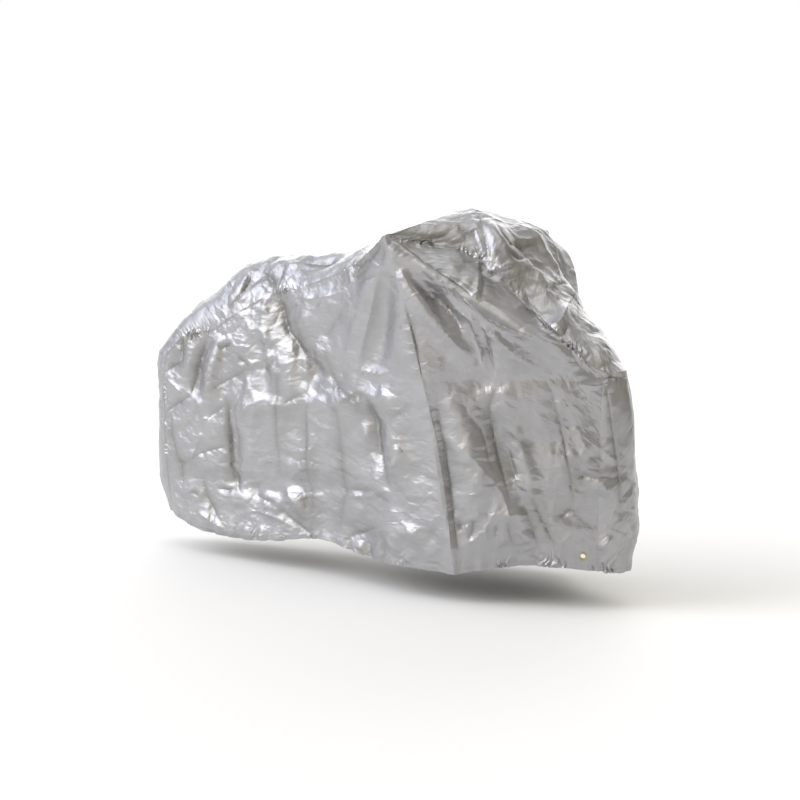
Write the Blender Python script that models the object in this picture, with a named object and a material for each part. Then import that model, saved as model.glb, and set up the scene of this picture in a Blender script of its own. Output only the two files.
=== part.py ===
"""Bicycle cover, in the shape in which it hangs while it is in use.

It is sewn from a top panel, which runs from the rear hem over both peaks to the front hem, and
two side panels. A strip of doubled cloth sits in each side panel at the hem, near the front, with
a brass eyelet in it. The cloth hangs from a low peak at the rear and from a high one further
ahead, whose two corners stand out sideways, so that each side falls from its corner as a tent.

Metres. +X points forwards, +Y to the left, +Z up. The tables count lengths from the place under
the cover's rear third and heights from the ground. move_to_frame then moves all of it to the
frame's origin, which lies under the high peak.
"""

import math
from collections import namedtuple

import bmesh
import bpy
from mathutils import Matrix, Vector

# The cloth
CLOTH = 0.002  # thickness of the solids
SEAM_GAP = 0.0003  # between two pieces that are sewn together
WELD = 0.00005  # points closer than this are one point of the surface

# The two peaks that carry it
LOW_PEAK_X, LOW_PEAK_Z = 0.215, 0.932
HIGH_PEAK_X, HIGH_PEAK_Z = 0.825, 1.079
CORNER_HALF = 0.300  # the corners of the high peak, each side of the middle
ORIGIN_DROP = 0.005  # the frame's origin lies this far under the cloth of the high peak

# The hem and the ends
REAR_X, FRONT_X = -0.313, 1.400
END_TURN = -0.050  # the front end's middle lies this far to the right
LOW_RISE = 0.120  # from the hem to the level called low
LOW_HEM_Z = 0.070  # where the hem hangs lowest
GATHER_DEPTH = 0.004  # of the waves in which the hem is drawn in
GATHER_PITCH = 0.095
GATHER_RATIO = 1.7  # of the second set of waves, which makes the first uneven
GATHER_HEIGHT = 0.070  # over which the waves die out, above LOW_HEM_Z

# Eyelets
EYELET_X, EYELET_HALF, EYELET_Z = 1.283, 0.100, 0.148
BORE_RADIUS = 0.0070
BARREL_RADIUS = 0.0076
HOLE_RADIUS = 0.0079  # of the hole in the strip, round the barrel
FLANGE_RADIUS = 0.0124
FLANGE_THICKNESS = 0.0009
FLANGE_GAP = 0.0003  # between a flange and the cloth
FLAT_RADIUS = 0.0142  # the strip is flat this far round the hole
HOLE_SIDES = 16
RING_SIDES = 20

# Cells of the mesh
SECTION_STEPS = 5  # from one section to the next
LEVEL_STEPS = [3, 5, 5, 4]  # hem to low, low to mid, mid to ridge, ridge to seam
HALF_TOP_STEPS = 4  # from the middle of the top panel to each seam
SHARP_EDGE = math.radians(40)  # edges sharper than this aren't shaded smooth

# One row for each section of a side, from the rear to the front. A section has five levels: the
# hem, low, mid at half its height, ridge, and the seam to the top panel. half is how far a level
# stands from the middle. bow is how far forwards the section bends at half its height.
Section = namedtuple(
    "Section",
    "name seam_x seam_z seam_half ridge_z ridge_half mid_half low_half hem_x hem_z hem_half bow",
)
RIGHT = [
    Section("rear", -0.228, 0.600, 0.085, 0.500, 0.092, 0.094, 0.088, -0.224, 0.110, 0.062, 0),
    Section("rise", -0.145, 0.666, 0.092, 0.560, 0.100, 0.104, 0.100, -0.145, 0.088, 0.085, 0),
    Section("rump", -0.020, 0.694, 0.105, 0.590, 0.112, 0.116, 0.112, -0.020, 0.070, 0.100, 0),
    Section("low_rear", 0.078, 0.748, 0.112, 0.640, 0.120, 0.124, 0.122, 0.090, 0.068, 0.110, 0),
    Section("low_peak", 0.215, 0.812, 0.122, 0.700, 0.134, 0.142, 0.138, 0.245, 0.082, 0.122, 0),
    Section("low_front", 0.370, 0.848, 0.146, 0.740, 0.160, 0.168, 0.162, 0.440, 0.108, 0.145, 0),
    Section("climb", 0.570, 0.915, 0.205, 0.820, 0.220, 0.222, 0.210, 0.660, 0.080, 0.200, 0.01),
    Section("corner", 0.751, 1.008, CORNER_HALF, 0.960, 0.299, 0.281, 0.266, 0.951, 0.080, 0.252, 0.03),
    Section("brow", 0.900, 0.966, 0.140, 0.906, 0.262, 0.246, 0.232, 1.050, 0.102, 0.205, 0.02),
    Section("fall", 1.050, 0.858, 0.118, 0.806, 0.228, 0.206, 0.186, 1.140, 0.112, 0.158, 0.01),
    Section("slope", 1.208, 0.730, 0.124, 0.698, 0.168, 0.162, 0.152, 1.222, 0.112, 0.138, 0),
    Section("front", 1.330, 0.636, 0.106, 0.560, 0.116, 0.117, 0.116, 1.320, 0.106, 0.100, 0),
]
LEFT = [
    Section("rear", -0.228, 0.605, 0.085, 0.500, 0.092, 0.094, 0.088, -0.226, 0.108, 0.060, 0),
    Section("rise", -0.145, 0.672, 0.094, 0.560, 0.102, 0.104, 0.100, -0.150, 0.090, 0.082, 0),
    Section("rump", -0.020, 0.704, 0.106, 0.590, 0.114, 0.118, 0.114, -0.030, 0.070, 0.098, 0),
    Section("low_rear", 0.078, 0.756, 0.112, 0.640, 0.122, 0.128, 0.126, 0.085, 0.076, 0.112, 0),
    Section("low_peak", 0.220, 0.815, 0.124, 0.700, 0.138, 0.148, 0.142, 0.240, 0.084, 0.126, 0),
    Section("low_front", 0.390, 0.850, 0.150, 0.740, 0.166, 0.174, 0.168, 0.430, 0.098, 0.150, 0),
    Section("climb", 0.630, 0.925, 0.208, 0.830, 0.226, 0.228, 0.216, 0.690, 0.082, 0.202, 0),
    Section("corner", 0.862, 1.020, CORNER_HALF, 0.975, 0.302, 0.284, 0.268, 0.980, 0.086, 0.250, 0.01),
    Section("brow", 0.962, 0.990, 0.230, 0.935, 0.296, 0.260, 0.236, 1.060, 0.100, 0.198, 0.01),
    Section("fall", 1.055, 0.850, 0.146, 0.806, 0.215, 0.188, 0.168, 1.130, 0.112, 0.138, 0.01),
    Section("slope", 1.186, 0.746, 0.082, 0.714, 0.114, 0.118, 0.114, 1.205, 0.112, 0.096, 0),
    Section("front", 1.298, 0.645, 0.042, 0.560, 0.050, 0.052, 0.052, 1.306, 0.106, 0.034, 0),
]
CORNER = 7  # the row of the sections in which each side has its sharp edge

# The middle of the top panel at each section. arch is 1 where the panel is round across, 0 where
# it is a straight roof. The front end is turned to the right, as the high peak is.
Middle = namedtuple("Middle", "x y z arch")
MIDDLE = [
    Middle(-0.284, 0, 0.630, 0.6),
    Middle(-0.195, 0, 0.722, 0.9),
    Middle(-0.045, 0, 0.822, 1.0),
    Middle(0.056, 0, 0.895, 0.9),
    Middle(LOW_PEAK_X, 0, LOW_PEAK_Z, 0.9),
    Middle(0.370, 0, 0.940, 0.8),
    Middle(0.600, 0, 1.018, 0.4),
    Middle(HIGH_PEAK_X, 0, HIGH_PEAK_Z, 0.1),
    Middle(0.940, 0, 1.038, 0.5),
    Middle(1.060, -0.012, 0.925, 0.7),
    Middle(1.200, -0.030, 0.782, 0.9),
    Middle(1.328, END_TURN, 0.676, 0.9),
]

# The top panel's middle where it hangs down at an end, for each level from the hem up: its place,
# and how far it lies above the seams beside it
End = namedtuple("End", "x y rise")
REAR_END = [
    End(REAR_X + 0.026, 0, -0.010),
    End(REAR_X + 0.002, 0, 0.000),
    End(REAR_X, 0, 0.000),
    End(REAR_X + 0.004, 0, 0.006),
    End(REAR_X + 0.014, 0, 0.018),
]
FRONT_END = [
    End(FRONT_X - 0.038, END_TURN, -0.004),
    End(FRONT_X, END_TURN, 0.000),
    End(FRONT_X - 0.004, END_TURN, 0.000),
    End(FRONT_X - 0.024, END_TURN, 0.010),
    End(FRONT_X - 0.042, END_TURN, 0.020),
]

# Main folds, as they look from the side that view names: right and left show x and z, top shows
# x and y, rear and front show y and z. path is the way that the fold runs. A positive depth is a
# ridge, a negative one a trough.
Fold = namedtuple("Fold", "view path width depth")
FOLDS = [
    # Right side, fanned out from the corner towards the front
    Fold("right", [(0.770, 0.989), (0.914, 0.906), (1.130, 0.763), (1.313, 0.659)], 0.026, 0.016),
    Fold("right", [(0.787, 0.986), (0.880, 0.940), (0.999, 0.854)], 0.022, -0.010),
    Fold("right", [(0.791, 0.910), (0.882, 0.796), (0.943, 0.735), (0.993, 0.671)], 0.026, 0.011),
    Fold("right", [(0.830, 0.895), (0.910, 0.829), (0.970, 0.771)], 0.024, -0.010),
    Fold("right", [(0.910, 0.865), (1.008, 0.792), (1.100, 0.708), (1.176, 0.655)], 0.024, 0.009),
    # Right side, below the corner and towards the rear
    Fold("right", [(0.731, 0.913), (0.662, 0.627)], 0.040, -0.012),
    Fold("right", [(0.696, 0.933), (0.547, 0.603)], 0.036, 0.010),
    Fold("right", [(0.240, 0.821), (0.308, 0.714), (0.429, 0.534)], 0.045, -0.022),
    Fold("right", [(0.163, 0.823), (0.217, 0.678), (0.312, 0.508)], 0.036, 0.012),
    Fold("right", [(-0.031, 0.674), (-0.066, 0.584), (-0.099, 0.489)], 0.028, -0.018),
    Fold("right", [(0.024, 0.681), (-0.006, 0.573), (-0.022, 0.480)], 0.028, 0.012),
    # Right side, the deeper of the creases in which it was packed
    Fold("right", [(0.069, 0.487), (0.076, 0.366), (0.073, 0.228)], 0.028, -0.013),
    Fold("right", [(0.631, 0.553), (0.668, 0.429), (0.720, 0.291)], 0.030, -0.014),
    Fold("right", [(1.042, 0.583), (1.065, 0.461), (1.086, 0.324)], 0.028, -0.013),
    Fold("right", [(1.214, 0.575), (1.238, 0.439), (1.259, 0.269)], 0.028, 0.011),
    Fold("right", [(0.252, 0.640), (0.257, 0.474), (0.249, 0.280)], 0.024, 0.006),
    Fold("right", [(0.358, 0.804), (0.383, 0.515), (0.410, 0.180)], 0.026, 0.007),
    Fold("right", [(0.999, 0.791), (1.020, 0.705), (1.039, 0.597)], 0.022, -0.007),
    Fold("right", [(0.892, 0.481), (0.996, 0.417), (1.074, 0.324), (1.129, 0.171)], 0.030, 0.010),
    Fold("right", [(-0.195, 0.466), (0.102, 0.466), (0.437, 0.514), (0.773, 0.559)], 0.028, 0.006),
    Fold("right", [(0.885, 0.618), (1.020, 0.610), (1.175, 0.634), (1.314, 0.651)], 0.028, -0.007),
    Fold("right", [(0.000, 0.185), (0.138, 0.189), (0.469, 0.244), (0.876, 0.311)], 0.028, 0.006),
    # Left side
    Fold("left", [(0.900, 0.995), (1.000, 0.900), (1.080, 0.810), (1.310, 0.665)], 0.028, 0.014),
    Fold("left", [(0.905, 0.930), (0.980, 0.800), (1.060, 0.690)], 0.028, 0.010),
    Fold("left", [(0.840, 0.930), (0.780, 0.650), (0.790, 0.450)], 0.042, -0.010),
    Fold("left", [(0.790, 0.940), (0.660, 0.620)], 0.036, 0.009),
    Fold("left", [(0.260, 0.800), (0.330, 0.660), (0.440, 0.500)], 0.045, -0.014),
    Fold("left", [(-0.030, 0.670), (-0.090, 0.470)], 0.030, -0.012),
    Fold("left", [(0.150, 0.560), (0.145, 0.240)], 0.028, -0.009),
    Fold("left", [(0.560, 0.600), (0.590, 0.300)], 0.030, -0.010),
    Fold("left", [(1.120, 0.600), (1.150, 0.330)], 0.028, 0.009),
    Fold("left", [(-0.150, 0.460), (0.200, 0.480), (0.700, 0.540), (1.200, 0.520)], 0.028, 0.006),
    Fold("left", [(0.100, 0.190), (0.500, 0.230), (0.950, 0.290)], 0.028, 0.006),
    # Top panel, over the low peak and in front of the high one
    Fold("top", [(0.096, -0.059), (0.085, -0.099), (0.044, -0.107)], 0.024, 0.009),
    Fold("top", [(0.300, -0.100), (0.380, -0.112), (0.471, -0.120)], 0.026, -0.009),
    Fold("top", [(0.899, -0.027), (0.973, -0.071), (1.050, -0.090)], 0.040, 0.016),
    Fold("top", [(0.900, -0.095), (0.960, -0.135), (1.010, -0.155)], 0.026, -0.012),
    Fold("top", [(0.930, 0.020), (1.007, 0.000), (1.070, 0.010)], 0.034, -0.014),
    Fold("top", [(0.940, 0.110), (1.034, 0.120), (1.130, 0.095)], 0.036, 0.015),
    Fold("top", [(1.130, -0.020), (1.180, -0.070), (1.195, -0.140)], 0.028, 0.011),
    # The ends
    Fold("front", [(-0.030, 0.620), (0.000, 0.420), (-0.020, 0.260)], 0.030, -0.008),
    Fold("rear", [(0.020, 0.590), (-0.010, 0.380), (0.010, 0.220)], 0.030, -0.008),
]
VIEWS = {
    "right": (Vector((0, -1, 0)), 0, 2),
    "left": (Vector((0, 1, 0)), 0, 2),
    "top": (Vector((0, 0, 1)), 0, 1),
    "front": (Vector((1, 0, 0)), 1, 2),
    "rear": (Vector((-1, 0, 0)), 1, 2),
}

# The pieces of cloth, and the finish of each
PANELS = {
    "side_panel_right": "silver_coated_polyester",
    "side_panel_left": "silver_coated_polyester",
    "top_panel": "silver_coated_polyester_top",
    "eyelet_strip_right": "doubled_silver_polyester",
    "eyelet_strip_left": "doubled_silver_polyester",
}
Finish = namedtuple("Finish", "colour roughness metallic")
FINISHES = {
    "silver_coated_polyester": Finish((0.62, 0.63, 0.65, 1.0), 0.45, 0.35),
    "silver_coated_polyester_top": Finish((0.68, 0.69, 0.71, 1.0), 0.45, 0.35),
    "doubled_silver_polyester": Finish((0.55, 0.56, 0.58, 1.0), 0.50, 0.35),
    "brass_eyelet": Finish((0.55, 0.45, 0.25, 1.0), 0.35, 1.0),
}


def slopes(values, corner):
    """(slope before, slope after) of a smooth curve at each value; they differ at the corner."""
    steps = [after - before for before, after in zip(values, values[1:])]
    found = []
    for i in range(len(values)):
        before, after = steps[max(i - 1, 0)], steps[min(i, len(steps) - 1)]
        if i == corner:
            found.append((before, after))
        elif before * after <= 0:
            found.append((0.0, 0.0))
        else:
            mean = 2 * before * after / (before + after)
            found.append((mean, mean))
    return found


def smooth(values, place, corner=None):
    """A number, or a point, on the smooth curve through the values, place counted in rows."""
    if isinstance(values[0], Vector):
        return Vector([smooth([v[axis] for v in values], place, corner) for axis in range(3)])
    i = min(int(place), len(values) - 2)
    t = place - i
    ends = slopes(values, corner)
    return (
        values[i] * (2 * t**3 - 3 * t**2 + 1)
        + ends[i][1] * (t**3 - 2 * t**2 + t)
        + values[i + 1] * (3 * t**2 - 2 * t**3)
        + ends[i + 1][0] * (t**3 - t**2)
    )


def levels_of(section, side):
    """The section's five points, from the hem to the seam; side is -1 right and +1 left."""
    mid_z = (section.hem_z + section.seam_z) / 2
    levels = [
        (section.hem_z, section.hem_half),
        (section.hem_z + LOW_RISE, section.low_half),
        (mid_z, section.mid_half),
        (section.ridge_z, section.ridge_half),
        (section.seam_z, section.seam_half),
    ]
    points = []
    for z, half in levels:
        share = (z - section.hem_z) / (section.seam_z - section.hem_z)
        lean = (section.seam_x - section.hem_x) * share
        bend = section.bow * 4 * share * (1 - share)
        points.append(Vector((section.hem_x + lean + bend, side * half, z)))
    return points


def side_columns(table, side):
    """A side as columns of points, from rear to front, each from the hem up to the seam."""
    nets = [levels_of(section, side) for section in table]
    columns = []
    for step in range((len(table) - 1) * SECTION_STEPS + 1):
        place = step / SECTION_STEPS
        levels = [smooth([net[level] for net in nets], place, CORNER) for level in range(5)]
        columns.append([smooth(levels, row) for row in level_places()])
    return columns


def level_places():
    """The rows of a side, counted in levels."""
    places = [
        level + step / steps for level, steps in enumerate(LEVEL_STEPS) for step in range(steps)
    ]
    return places + [float(len(LEVEL_STEPS))]


def end_points(end, column):
    """The middle of the top panel at an end, beside each point of a side's outer column."""
    points = []
    for place, beside in zip(level_places(), column):
        x, y, rise = (smooth(values, place) for values in zip(*end))
        points.append(Vector((x, y, beside.z + rise)))
    return points


def across_top(middle, right, left, arch):
    """The top panel's points from its right seam over its middle to its left one."""
    points = []
    for step in range(-HALF_TOP_STEPS, HALF_TOP_STEPS + 1):
        seam = right if step < 0 else left
        share = abs(step) / HALF_TOP_STEPS
        out = math.sin(share * math.pi / 2) * arch + share * (1 - arch)
        down = (1 - math.cos(share * math.pi / 2)) * arch + share * (1 - arch)
        gap = seam - middle
        points.append(middle + Vector((gap.x * down, gap.y * out, gap.z * down)))
    return points


def top_columns(right, left):
    """The top panel as columns across it, from the rear hem over the peaks to the front hem."""
    columns = []
    rear = end_points(REAR_END, right[0])
    for row in range(len(rear) - 1):
        columns.append(across_top(rear[row], right[0][row], left[0][row], MIDDLE[0].arch))
    for step in range(len(right)):
        x, y, z, arch = (smooth(values, step / SECTION_STEPS) for values in zip(*MIDDLE))
        columns.append(across_top(Vector((x, y, z)), right[step][-1], left[step][-1], arch))
    front = end_points(FRONT_END, right[-1])
    for row in reversed(range(len(front) - 1)):
        columns.append(across_top(front[row], right[-1][row], left[-1][row], MIDDLE[-1].arch))
    return columns


def number_of(name):
    """The number by which the surface's faces know a piece of cloth."""
    return list(PANELS).index(name)


def add_panel(surface, columns, name, outwards):
    """Add a panel's faces to the surface, and mark them with the panel's number."""
    mark = surface.faces.layers.int["panel"]
    across, up = len(columns) - 1, len(columns[0]) - 1
    grid = bmesh.ops.create_grid(surface, x_segments=across, y_segments=up, size=0.5)
    faces = {face for vert in grid["verts"] for face in vert.link_faces}
    for vert in grid["verts"]:
        column = round((vert.co.x + 0.5) * across)
        row = round((vert.co.y + 0.5) * up)
        vert.co = columns[column][row]
    for face in faces:
        face[mark] = number_of(name)
        face.normal_update()
    if sum(face.normal.dot(outwards) for face in faces) < 0:
        bmesh.ops.reverse_faces(surface, faces=list(faces))


def fold_depth(fold, point, normal):
    """How far a fold moves a point of the surface along its normal."""
    towards, first, second = VIEWS[fold.view]
    place = Vector((point[first], point[second]))
    path = [Vector(step) for step in fold.path]
    lengths = [(end - start).length for start, end in zip(path, path[1:])]
    away, along, before = math.inf, 0.0, 0.0
    for start, end, length in zip(path, path[1:], lengths):
        share = min(max((place - start).dot(end - start) / length**2, 0.0), 1.0)
        distance = (place - start.lerp(end, share)).length
        if distance < away:
            away, along = distance, before + share * length
        before += length
    fade = math.sqrt(max(0.0, math.sin(math.pi * along / before)))  # to nothing at both ends
    facing = min(1.0, max(0.0, 2 * normal.dot(towards)))  # in full up to 60 degrees off the view
    return fold.depth * math.exp(-((away / fold.width) ** 2)) * fade * facing


def gather_depth(point):
    """How far the waves at the hem move a point of the surface along its normal."""
    turn = 2 * math.pi * (point.x + point.y) / GATHER_PITCH
    wave = (math.sin(turn) + math.sin(GATHER_RATIO * turn)) / 2
    height = max(0.0, point.z - LOW_HEM_Z) / GATHER_HEIGHT
    return GATHER_DEPTH * wave * math.exp(-height * height)


def press_folds(surface):
    """Move the surface's points by all folds together."""
    moves = {}
    for vert in surface.verts:
        depth = sum(fold_depth(fold, vert.co, vert.normal) for fold in FOLDS)
        moves[vert] = vert.normal * (depth + gather_depth(vert.co))
    for vert, move in moves.items():
        vert.co += move


def cut_eyelet_hole(surface, side, name):
    """Turn the cells round the eyelet's place into a strip with a flat, round hole.

    Returns the hole's middle and the direction in which it faces.
    """
    panel = number_of(name)
    mark = surface.faces.layers.int["panel"]
    outwards = surface.verts.layers.float_vector["outwards"]
    target = Vector((EYELET_X, side * EYELET_HALF, EYELET_Z))
    middle = min(surface.verts, key=lambda vert: (vert.co - target).length)
    centre, axis = middle.co.copy(), middle.normal.copy()
    level = Vector((0, 0, 1)).cross(axis).normalized()
    upright = axis.cross(level)

    def turn_of(vert):
        step = vert.co - centre
        turn = math.atan2(step.dot(upright), step.dot(level))
        return (turn + math.pi / 8) % (2 * math.pi)  # the rim's first point lies level

    rim = {vert for face in middle.link_faces for vert in face.verts} - {middle}
    rim = sorted(rim, key=turn_of)
    bmesh.ops.delete(surface, geom=[middle], context="VERTS")
    rings = []
    for radius in (FLAT_RADIUS, HOLE_RADIUS):
        turns = [2 * math.pi * i / HOLE_SIDES for i in range(HOLE_SIDES)]
        rings.append([
            surface.verts.new(centre + (level * math.cos(t) + upright * math.sin(t)) * radius)
            for t in turns
        ])
    for vert in rings[0] + rings[1]:
        vert[outwards] = axis
    outer, inner = rings
    for i in range(len(rim)):
        beside = [outer[(2 * i + step) % HOLE_SIDES] for step in (2, 1, 0)]
        face = surface.faces.new([rim[i], rim[(i + 1) % len(rim)], *beside])
        face[mark] = panel
    for i in range(HOLE_SIDES):
        after = (i + 1) % HOLE_SIDES
        face = surface.faces.new([outer[i], outer[after], inner[after], inner[i]])
        face[mark] = panel
    return centre, axis


def keep_normals(surface):
    """Store each point's normal, so that the pieces beside a seam get thick in one direction."""
    outwards = surface.verts.layers.float_vector["outwards"]
    surface.normal_update()
    for vert in surface.verts:
        if not vert[outwards].length:
            vert[outwards] = vert.normal


def draw_back(piece, seams):
    """Move a piece's edge back along the cloth where it is sewn to another piece."""
    moves = {}
    for vert in seams:
        edges = [edge for edge in vert.link_edges if edge.is_boundary]
        run = (edges[0].other_vert(vert).co - edges[-1].other_vert(vert).co).normalized()
        inwards = Vector()
        for face in vert.link_faces:
            inwards += face.calc_center_median() - vert.co
        square = len(vert.link_faces) > 1
        if square:
            inwards -= run * inwards.dot(run)
        moves[vert] = inwards.normalized() * SEAM_GAP / 2 * (1 if square else math.sqrt(2))
    for vert, move in moves.items():
        vert.co += move


def cut_out(surface, name):
    """One panel of the surface, thickened inwards, as a closed body."""
    piece = surface.copy()
    mark = piece.faces.layers.int["panel"]
    others = [face for face in piece.faces if face[mark] != number_of(name)]
    sewn = {vert for face in others for vert in face.verts}
    bmesh.ops.delete(piece, geom=others, context="FACES")
    draw_back(piece, [vert for vert in sewn if vert.is_valid])
    inner = bmesh.ops.extrude_face_region(piece, geom=list(piece.faces), use_keep_orig=True)
    outwards = piece.verts.layers.float_vector["outwards"]
    for vert in inner["geom"]:
        if isinstance(vert, bmesh.types.BMVert):
            vert.co -= vert[outwards] * CLOTH
    bmesh.ops.recalc_face_normals(piece, faces=piece.faces)
    if piece.calc_volume(signed=True) < 0:
        bmesh.ops.reverse_faces(piece, faces=piece.faces)
    return piece


def move_to_frame(piece):
    """Move a body so that the frame's origin is at nought."""
    origin = Vector((HIGH_PEAK_X, 0.0, HIGH_PEAK_Z - CLOTH - ORIGIN_DROP))
    bmesh.ops.translate(piece, verts=piece.verts, vec=-origin)


def make_material(name, finish):
    """The material of a finish."""
    material = bpy.data.materials.new(name)
    material.use_nodes = True
    shader = material.node_tree.nodes["Principled BSDF"]
    shader.inputs["Base Color"].default_value = finish.colour
    shader.inputs["Roughness"].default_value = finish.roughness
    shader.inputs["Metallic"].default_value = finish.metallic
    return material


def make_object(name, piece, material):
    """Place a body in the scene."""
    move_to_frame(piece)
    mesh = bpy.data.meshes.new(name)
    piece.to_mesh(mesh)
    piece.free()
    mesh.shade_smooth()
    mesh.set_sharp_from_angle(angle=SHARP_EDGE)
    mesh.materials.append(material)
    bpy.context.scene.collection.objects.link(bpy.data.objects.new(name, mesh))


def make_eyelet(centre, axis):
    """A brass eyelet: a barrel through the strip, with a rolled flange on each face of it."""
    front, back = FLANGE_GAP, -CLOTH - FLANGE_GAP
    top, bottom = front + FLANGE_THICKNESS, back - FLANGE_THICKNESS
    bevel = FLANGE_THICKNESS / 2
    outline = [
        (BORE_RADIUS, top - bevel),
        (BORE_RADIUS + bevel, top),
        (FLANGE_RADIUS - 3 * bevel, top),
        (FLANGE_RADIUS, front + bevel),
        (FLANGE_RADIUS - bevel, front),
        (BARREL_RADIUS, front),
        (BARREL_RADIUS, back),
        (FLANGE_RADIUS - bevel, back),
        (FLANGE_RADIUS, back - bevel),
        (FLANGE_RADIUS - 3 * bevel, bottom),
        (BORE_RADIUS + bevel, bottom),
        (BORE_RADIUS, bottom + bevel),
    ]
    ring = bmesh.new()
    verts = [ring.verts.new((radius, 0.0, height)) for radius, height in outline]
    edges = [ring.edges.new((verts[i - 1], verts[i])) for i in range(len(verts))]
    bmesh.ops.spin(
        ring,
        geom=verts + edges,
        axis=(0, 0, 1),
        cent=(0, 0, 0),
        angle=2 * math.pi,
        steps=RING_SIDES,
        use_merge=True,
    )
    bmesh.ops.recalc_face_normals(ring, faces=ring.faces)
    turn = Vector((0, 0, 1)).rotation_difference(axis).to_matrix().to_4x4()
    bmesh.ops.transform(ring, matrix=Matrix.Translation(centre) @ turn, verts=ring.verts)
    return ring


def make_surface():
    """The outer surface of the whole cover, with its folds."""
    right, left = side_columns(RIGHT, -1), side_columns(LEFT, 1)
    surface = bmesh.new()
    surface.faces.layers.int.new("panel")
    surface.verts.layers.float_vector.new("outwards")
    add_panel(surface, right, "side_panel_right", Vector((0, -1, 0)))
    add_panel(surface, left, "side_panel_left", Vector((0, 1, 0)))
    add_panel(surface, top_columns(right, left), "top_panel", Vector((0, 0, 1)))
    bmesh.ops.remove_doubles(surface, verts=surface.verts, dist=WELD)
    surface.normal_update()
    press_folds(surface)
    surface.normal_update()
    return surface


def build():
    for obj in list(bpy.data.objects):
        bpy.data.objects.remove(obj)
    surface = make_surface()
    eyelets = {
        "eyelet_right": cut_eyelet_hole(surface, -1, "eyelet_strip_right"),
        "eyelet_left": cut_eyelet_hole(surface, 1, "eyelet_strip_left"),
    }
    keep_normals(surface)
    materials = {name: make_material(name, finish) for name, finish in FINISHES.items()}
    for name, finish in PANELS.items():
        make_object(name, cut_out(surface, name), materials[finish])
    surface.free()
    for name, (centre, axis) in eyelets.items():
        make_object(name, make_eyelet(centre, axis), materials["brass_eyelet"])


build()
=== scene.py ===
# Looks of a silver bicycle cover that hangs in soft tents from two peaks.
# The cloth is one surface of three sewn panels, worked out from the same cross sections as the
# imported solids, then creased, puckered and gathered, and cut into its panels.

import math
from collections import namedtuple

import bmesh
import bpy
import numpy as np
from mathutils import Matrix, Vector, kdtree, noise


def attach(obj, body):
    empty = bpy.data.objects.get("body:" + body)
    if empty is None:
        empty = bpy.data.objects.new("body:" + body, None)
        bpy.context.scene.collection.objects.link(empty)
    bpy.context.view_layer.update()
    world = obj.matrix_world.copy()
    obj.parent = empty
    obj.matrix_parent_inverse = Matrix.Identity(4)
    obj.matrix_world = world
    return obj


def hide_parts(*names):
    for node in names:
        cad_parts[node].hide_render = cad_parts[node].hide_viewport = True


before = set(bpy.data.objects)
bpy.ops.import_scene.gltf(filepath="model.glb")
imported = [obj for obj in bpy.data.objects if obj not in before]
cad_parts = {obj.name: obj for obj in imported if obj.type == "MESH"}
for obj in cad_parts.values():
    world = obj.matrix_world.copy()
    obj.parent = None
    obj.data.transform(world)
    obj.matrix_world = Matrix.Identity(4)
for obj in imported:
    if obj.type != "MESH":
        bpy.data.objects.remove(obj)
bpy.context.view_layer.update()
print("frame loaded:", len(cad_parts), "solids")

mm = 0.001

# the camera stands where the photograph's did
cameraFacts = {
    "place": (3.2183, -5.0870, 0.228),
    "azimuth": 34.6,  # degrees to the right of the cover's right side
    "pitch": 7.3,  # degrees downwards
    "lens": 95.49,  # mm
    "sensor": 36.0,  # mm
    "shift": 0.0225,
    "imageWidth": 800,  # pixels, for the places that were read from the photograph
}


def cameraAxes():
    azimuth, pitch = (math.radians(cameraFacts[name]) for name in ("azimuth", "pitch"))
    ahead = Vector((
        -math.sin(azimuth) * math.cos(pitch), math.cos(azimuth) * math.cos(pitch), -math.sin(pitch)
    ))
    right = Vector((math.cos(azimuth), math.sin(azimuth), 0))
    return right, right.cross(ahead), ahead


def addCamera():
    right, up, ahead = cameraAxes()
    data = bpy.data.cameras.new("camera")
    data.lens, data.sensor_width, data.shift_x = (
        cameraFacts["lens"], cameraFacts["sensor"], cameraFacts["shift"]
    )
    camera = bpy.data.objects.new("camera", data)
    turn = Matrix((right, up, -ahead)).transposed()
    camera.matrix_world = Matrix.Translation(cameraFacts["place"]) @ turn.to_4x4()
    bpy.context.scene.collection.objects.link(camera)
    bpy.context.scene.camera = camera


def inPhoto(points):
    # where points show in the photograph, in its pixels, and the metres that a pixel covers there
    right, up, ahead = (np.array(axis) for axis in cameraAxes())
    step = points - np.array(cameraFacts["place"])
    width = cameraFacts["imageWidth"]
    focal = cameraFacts["lens"] / cameraFacts["sensor"] * width
    depth = step @ ahead
    middle = width * (0.5 - cameraFacts["shift"])
    across = middle + focal * (step @ right) / depth
    down = width / 2 - focal * (step @ up) / depth
    return np.stack([across, down], axis=1), depth / focal


stageFacts = {
    "floorDrop": 1.072,  # the floor lies this far under the frame's origin
    "floorHalf": 60.0,
    "floorColour": "#F3F3F2",
    "floorSpots": "#F1F1EF",
    "farColour": "#FFFFFF",  # of what lies past the floor, as the camera sees it
    # soft lights, far off: the way to each, its colour, strength, and how narrow it is
    "windows": [
        ((-0.76, -0.38, 0.53), "#F0F2FF", 2.7, 13.0),
        ((-0.60, -0.30, 0.74), "#EFF2FF", 1.8, 24.0),
        ((-0.55, -0.72, 0.42), "#FFFDF9", 4.7, 26.0),
        ((0.00, 0.00, 1.00), "#FFFFFF", 1.7, 18.0),
        ((0.50, -0.05, 0.86), "#FFF6E0", 0.6, 5.0),
        ((-0.10, -0.96, 0.24), "#FFEBBE", 1.0, 30.0),
        ((-0.50, 0.82, 0.24), "#FFFFFF", 4.3, 9.0),
    ],
    "skyLight": "#F2F4FF",  # all round, on the first light's side and on the other
    "skyShade": "#F3EACF",
    "skyStrength": 0.3,
    "skyTurn": (-0.7, 0.9),  # how far towards the first light each of the two is reached
}


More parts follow.
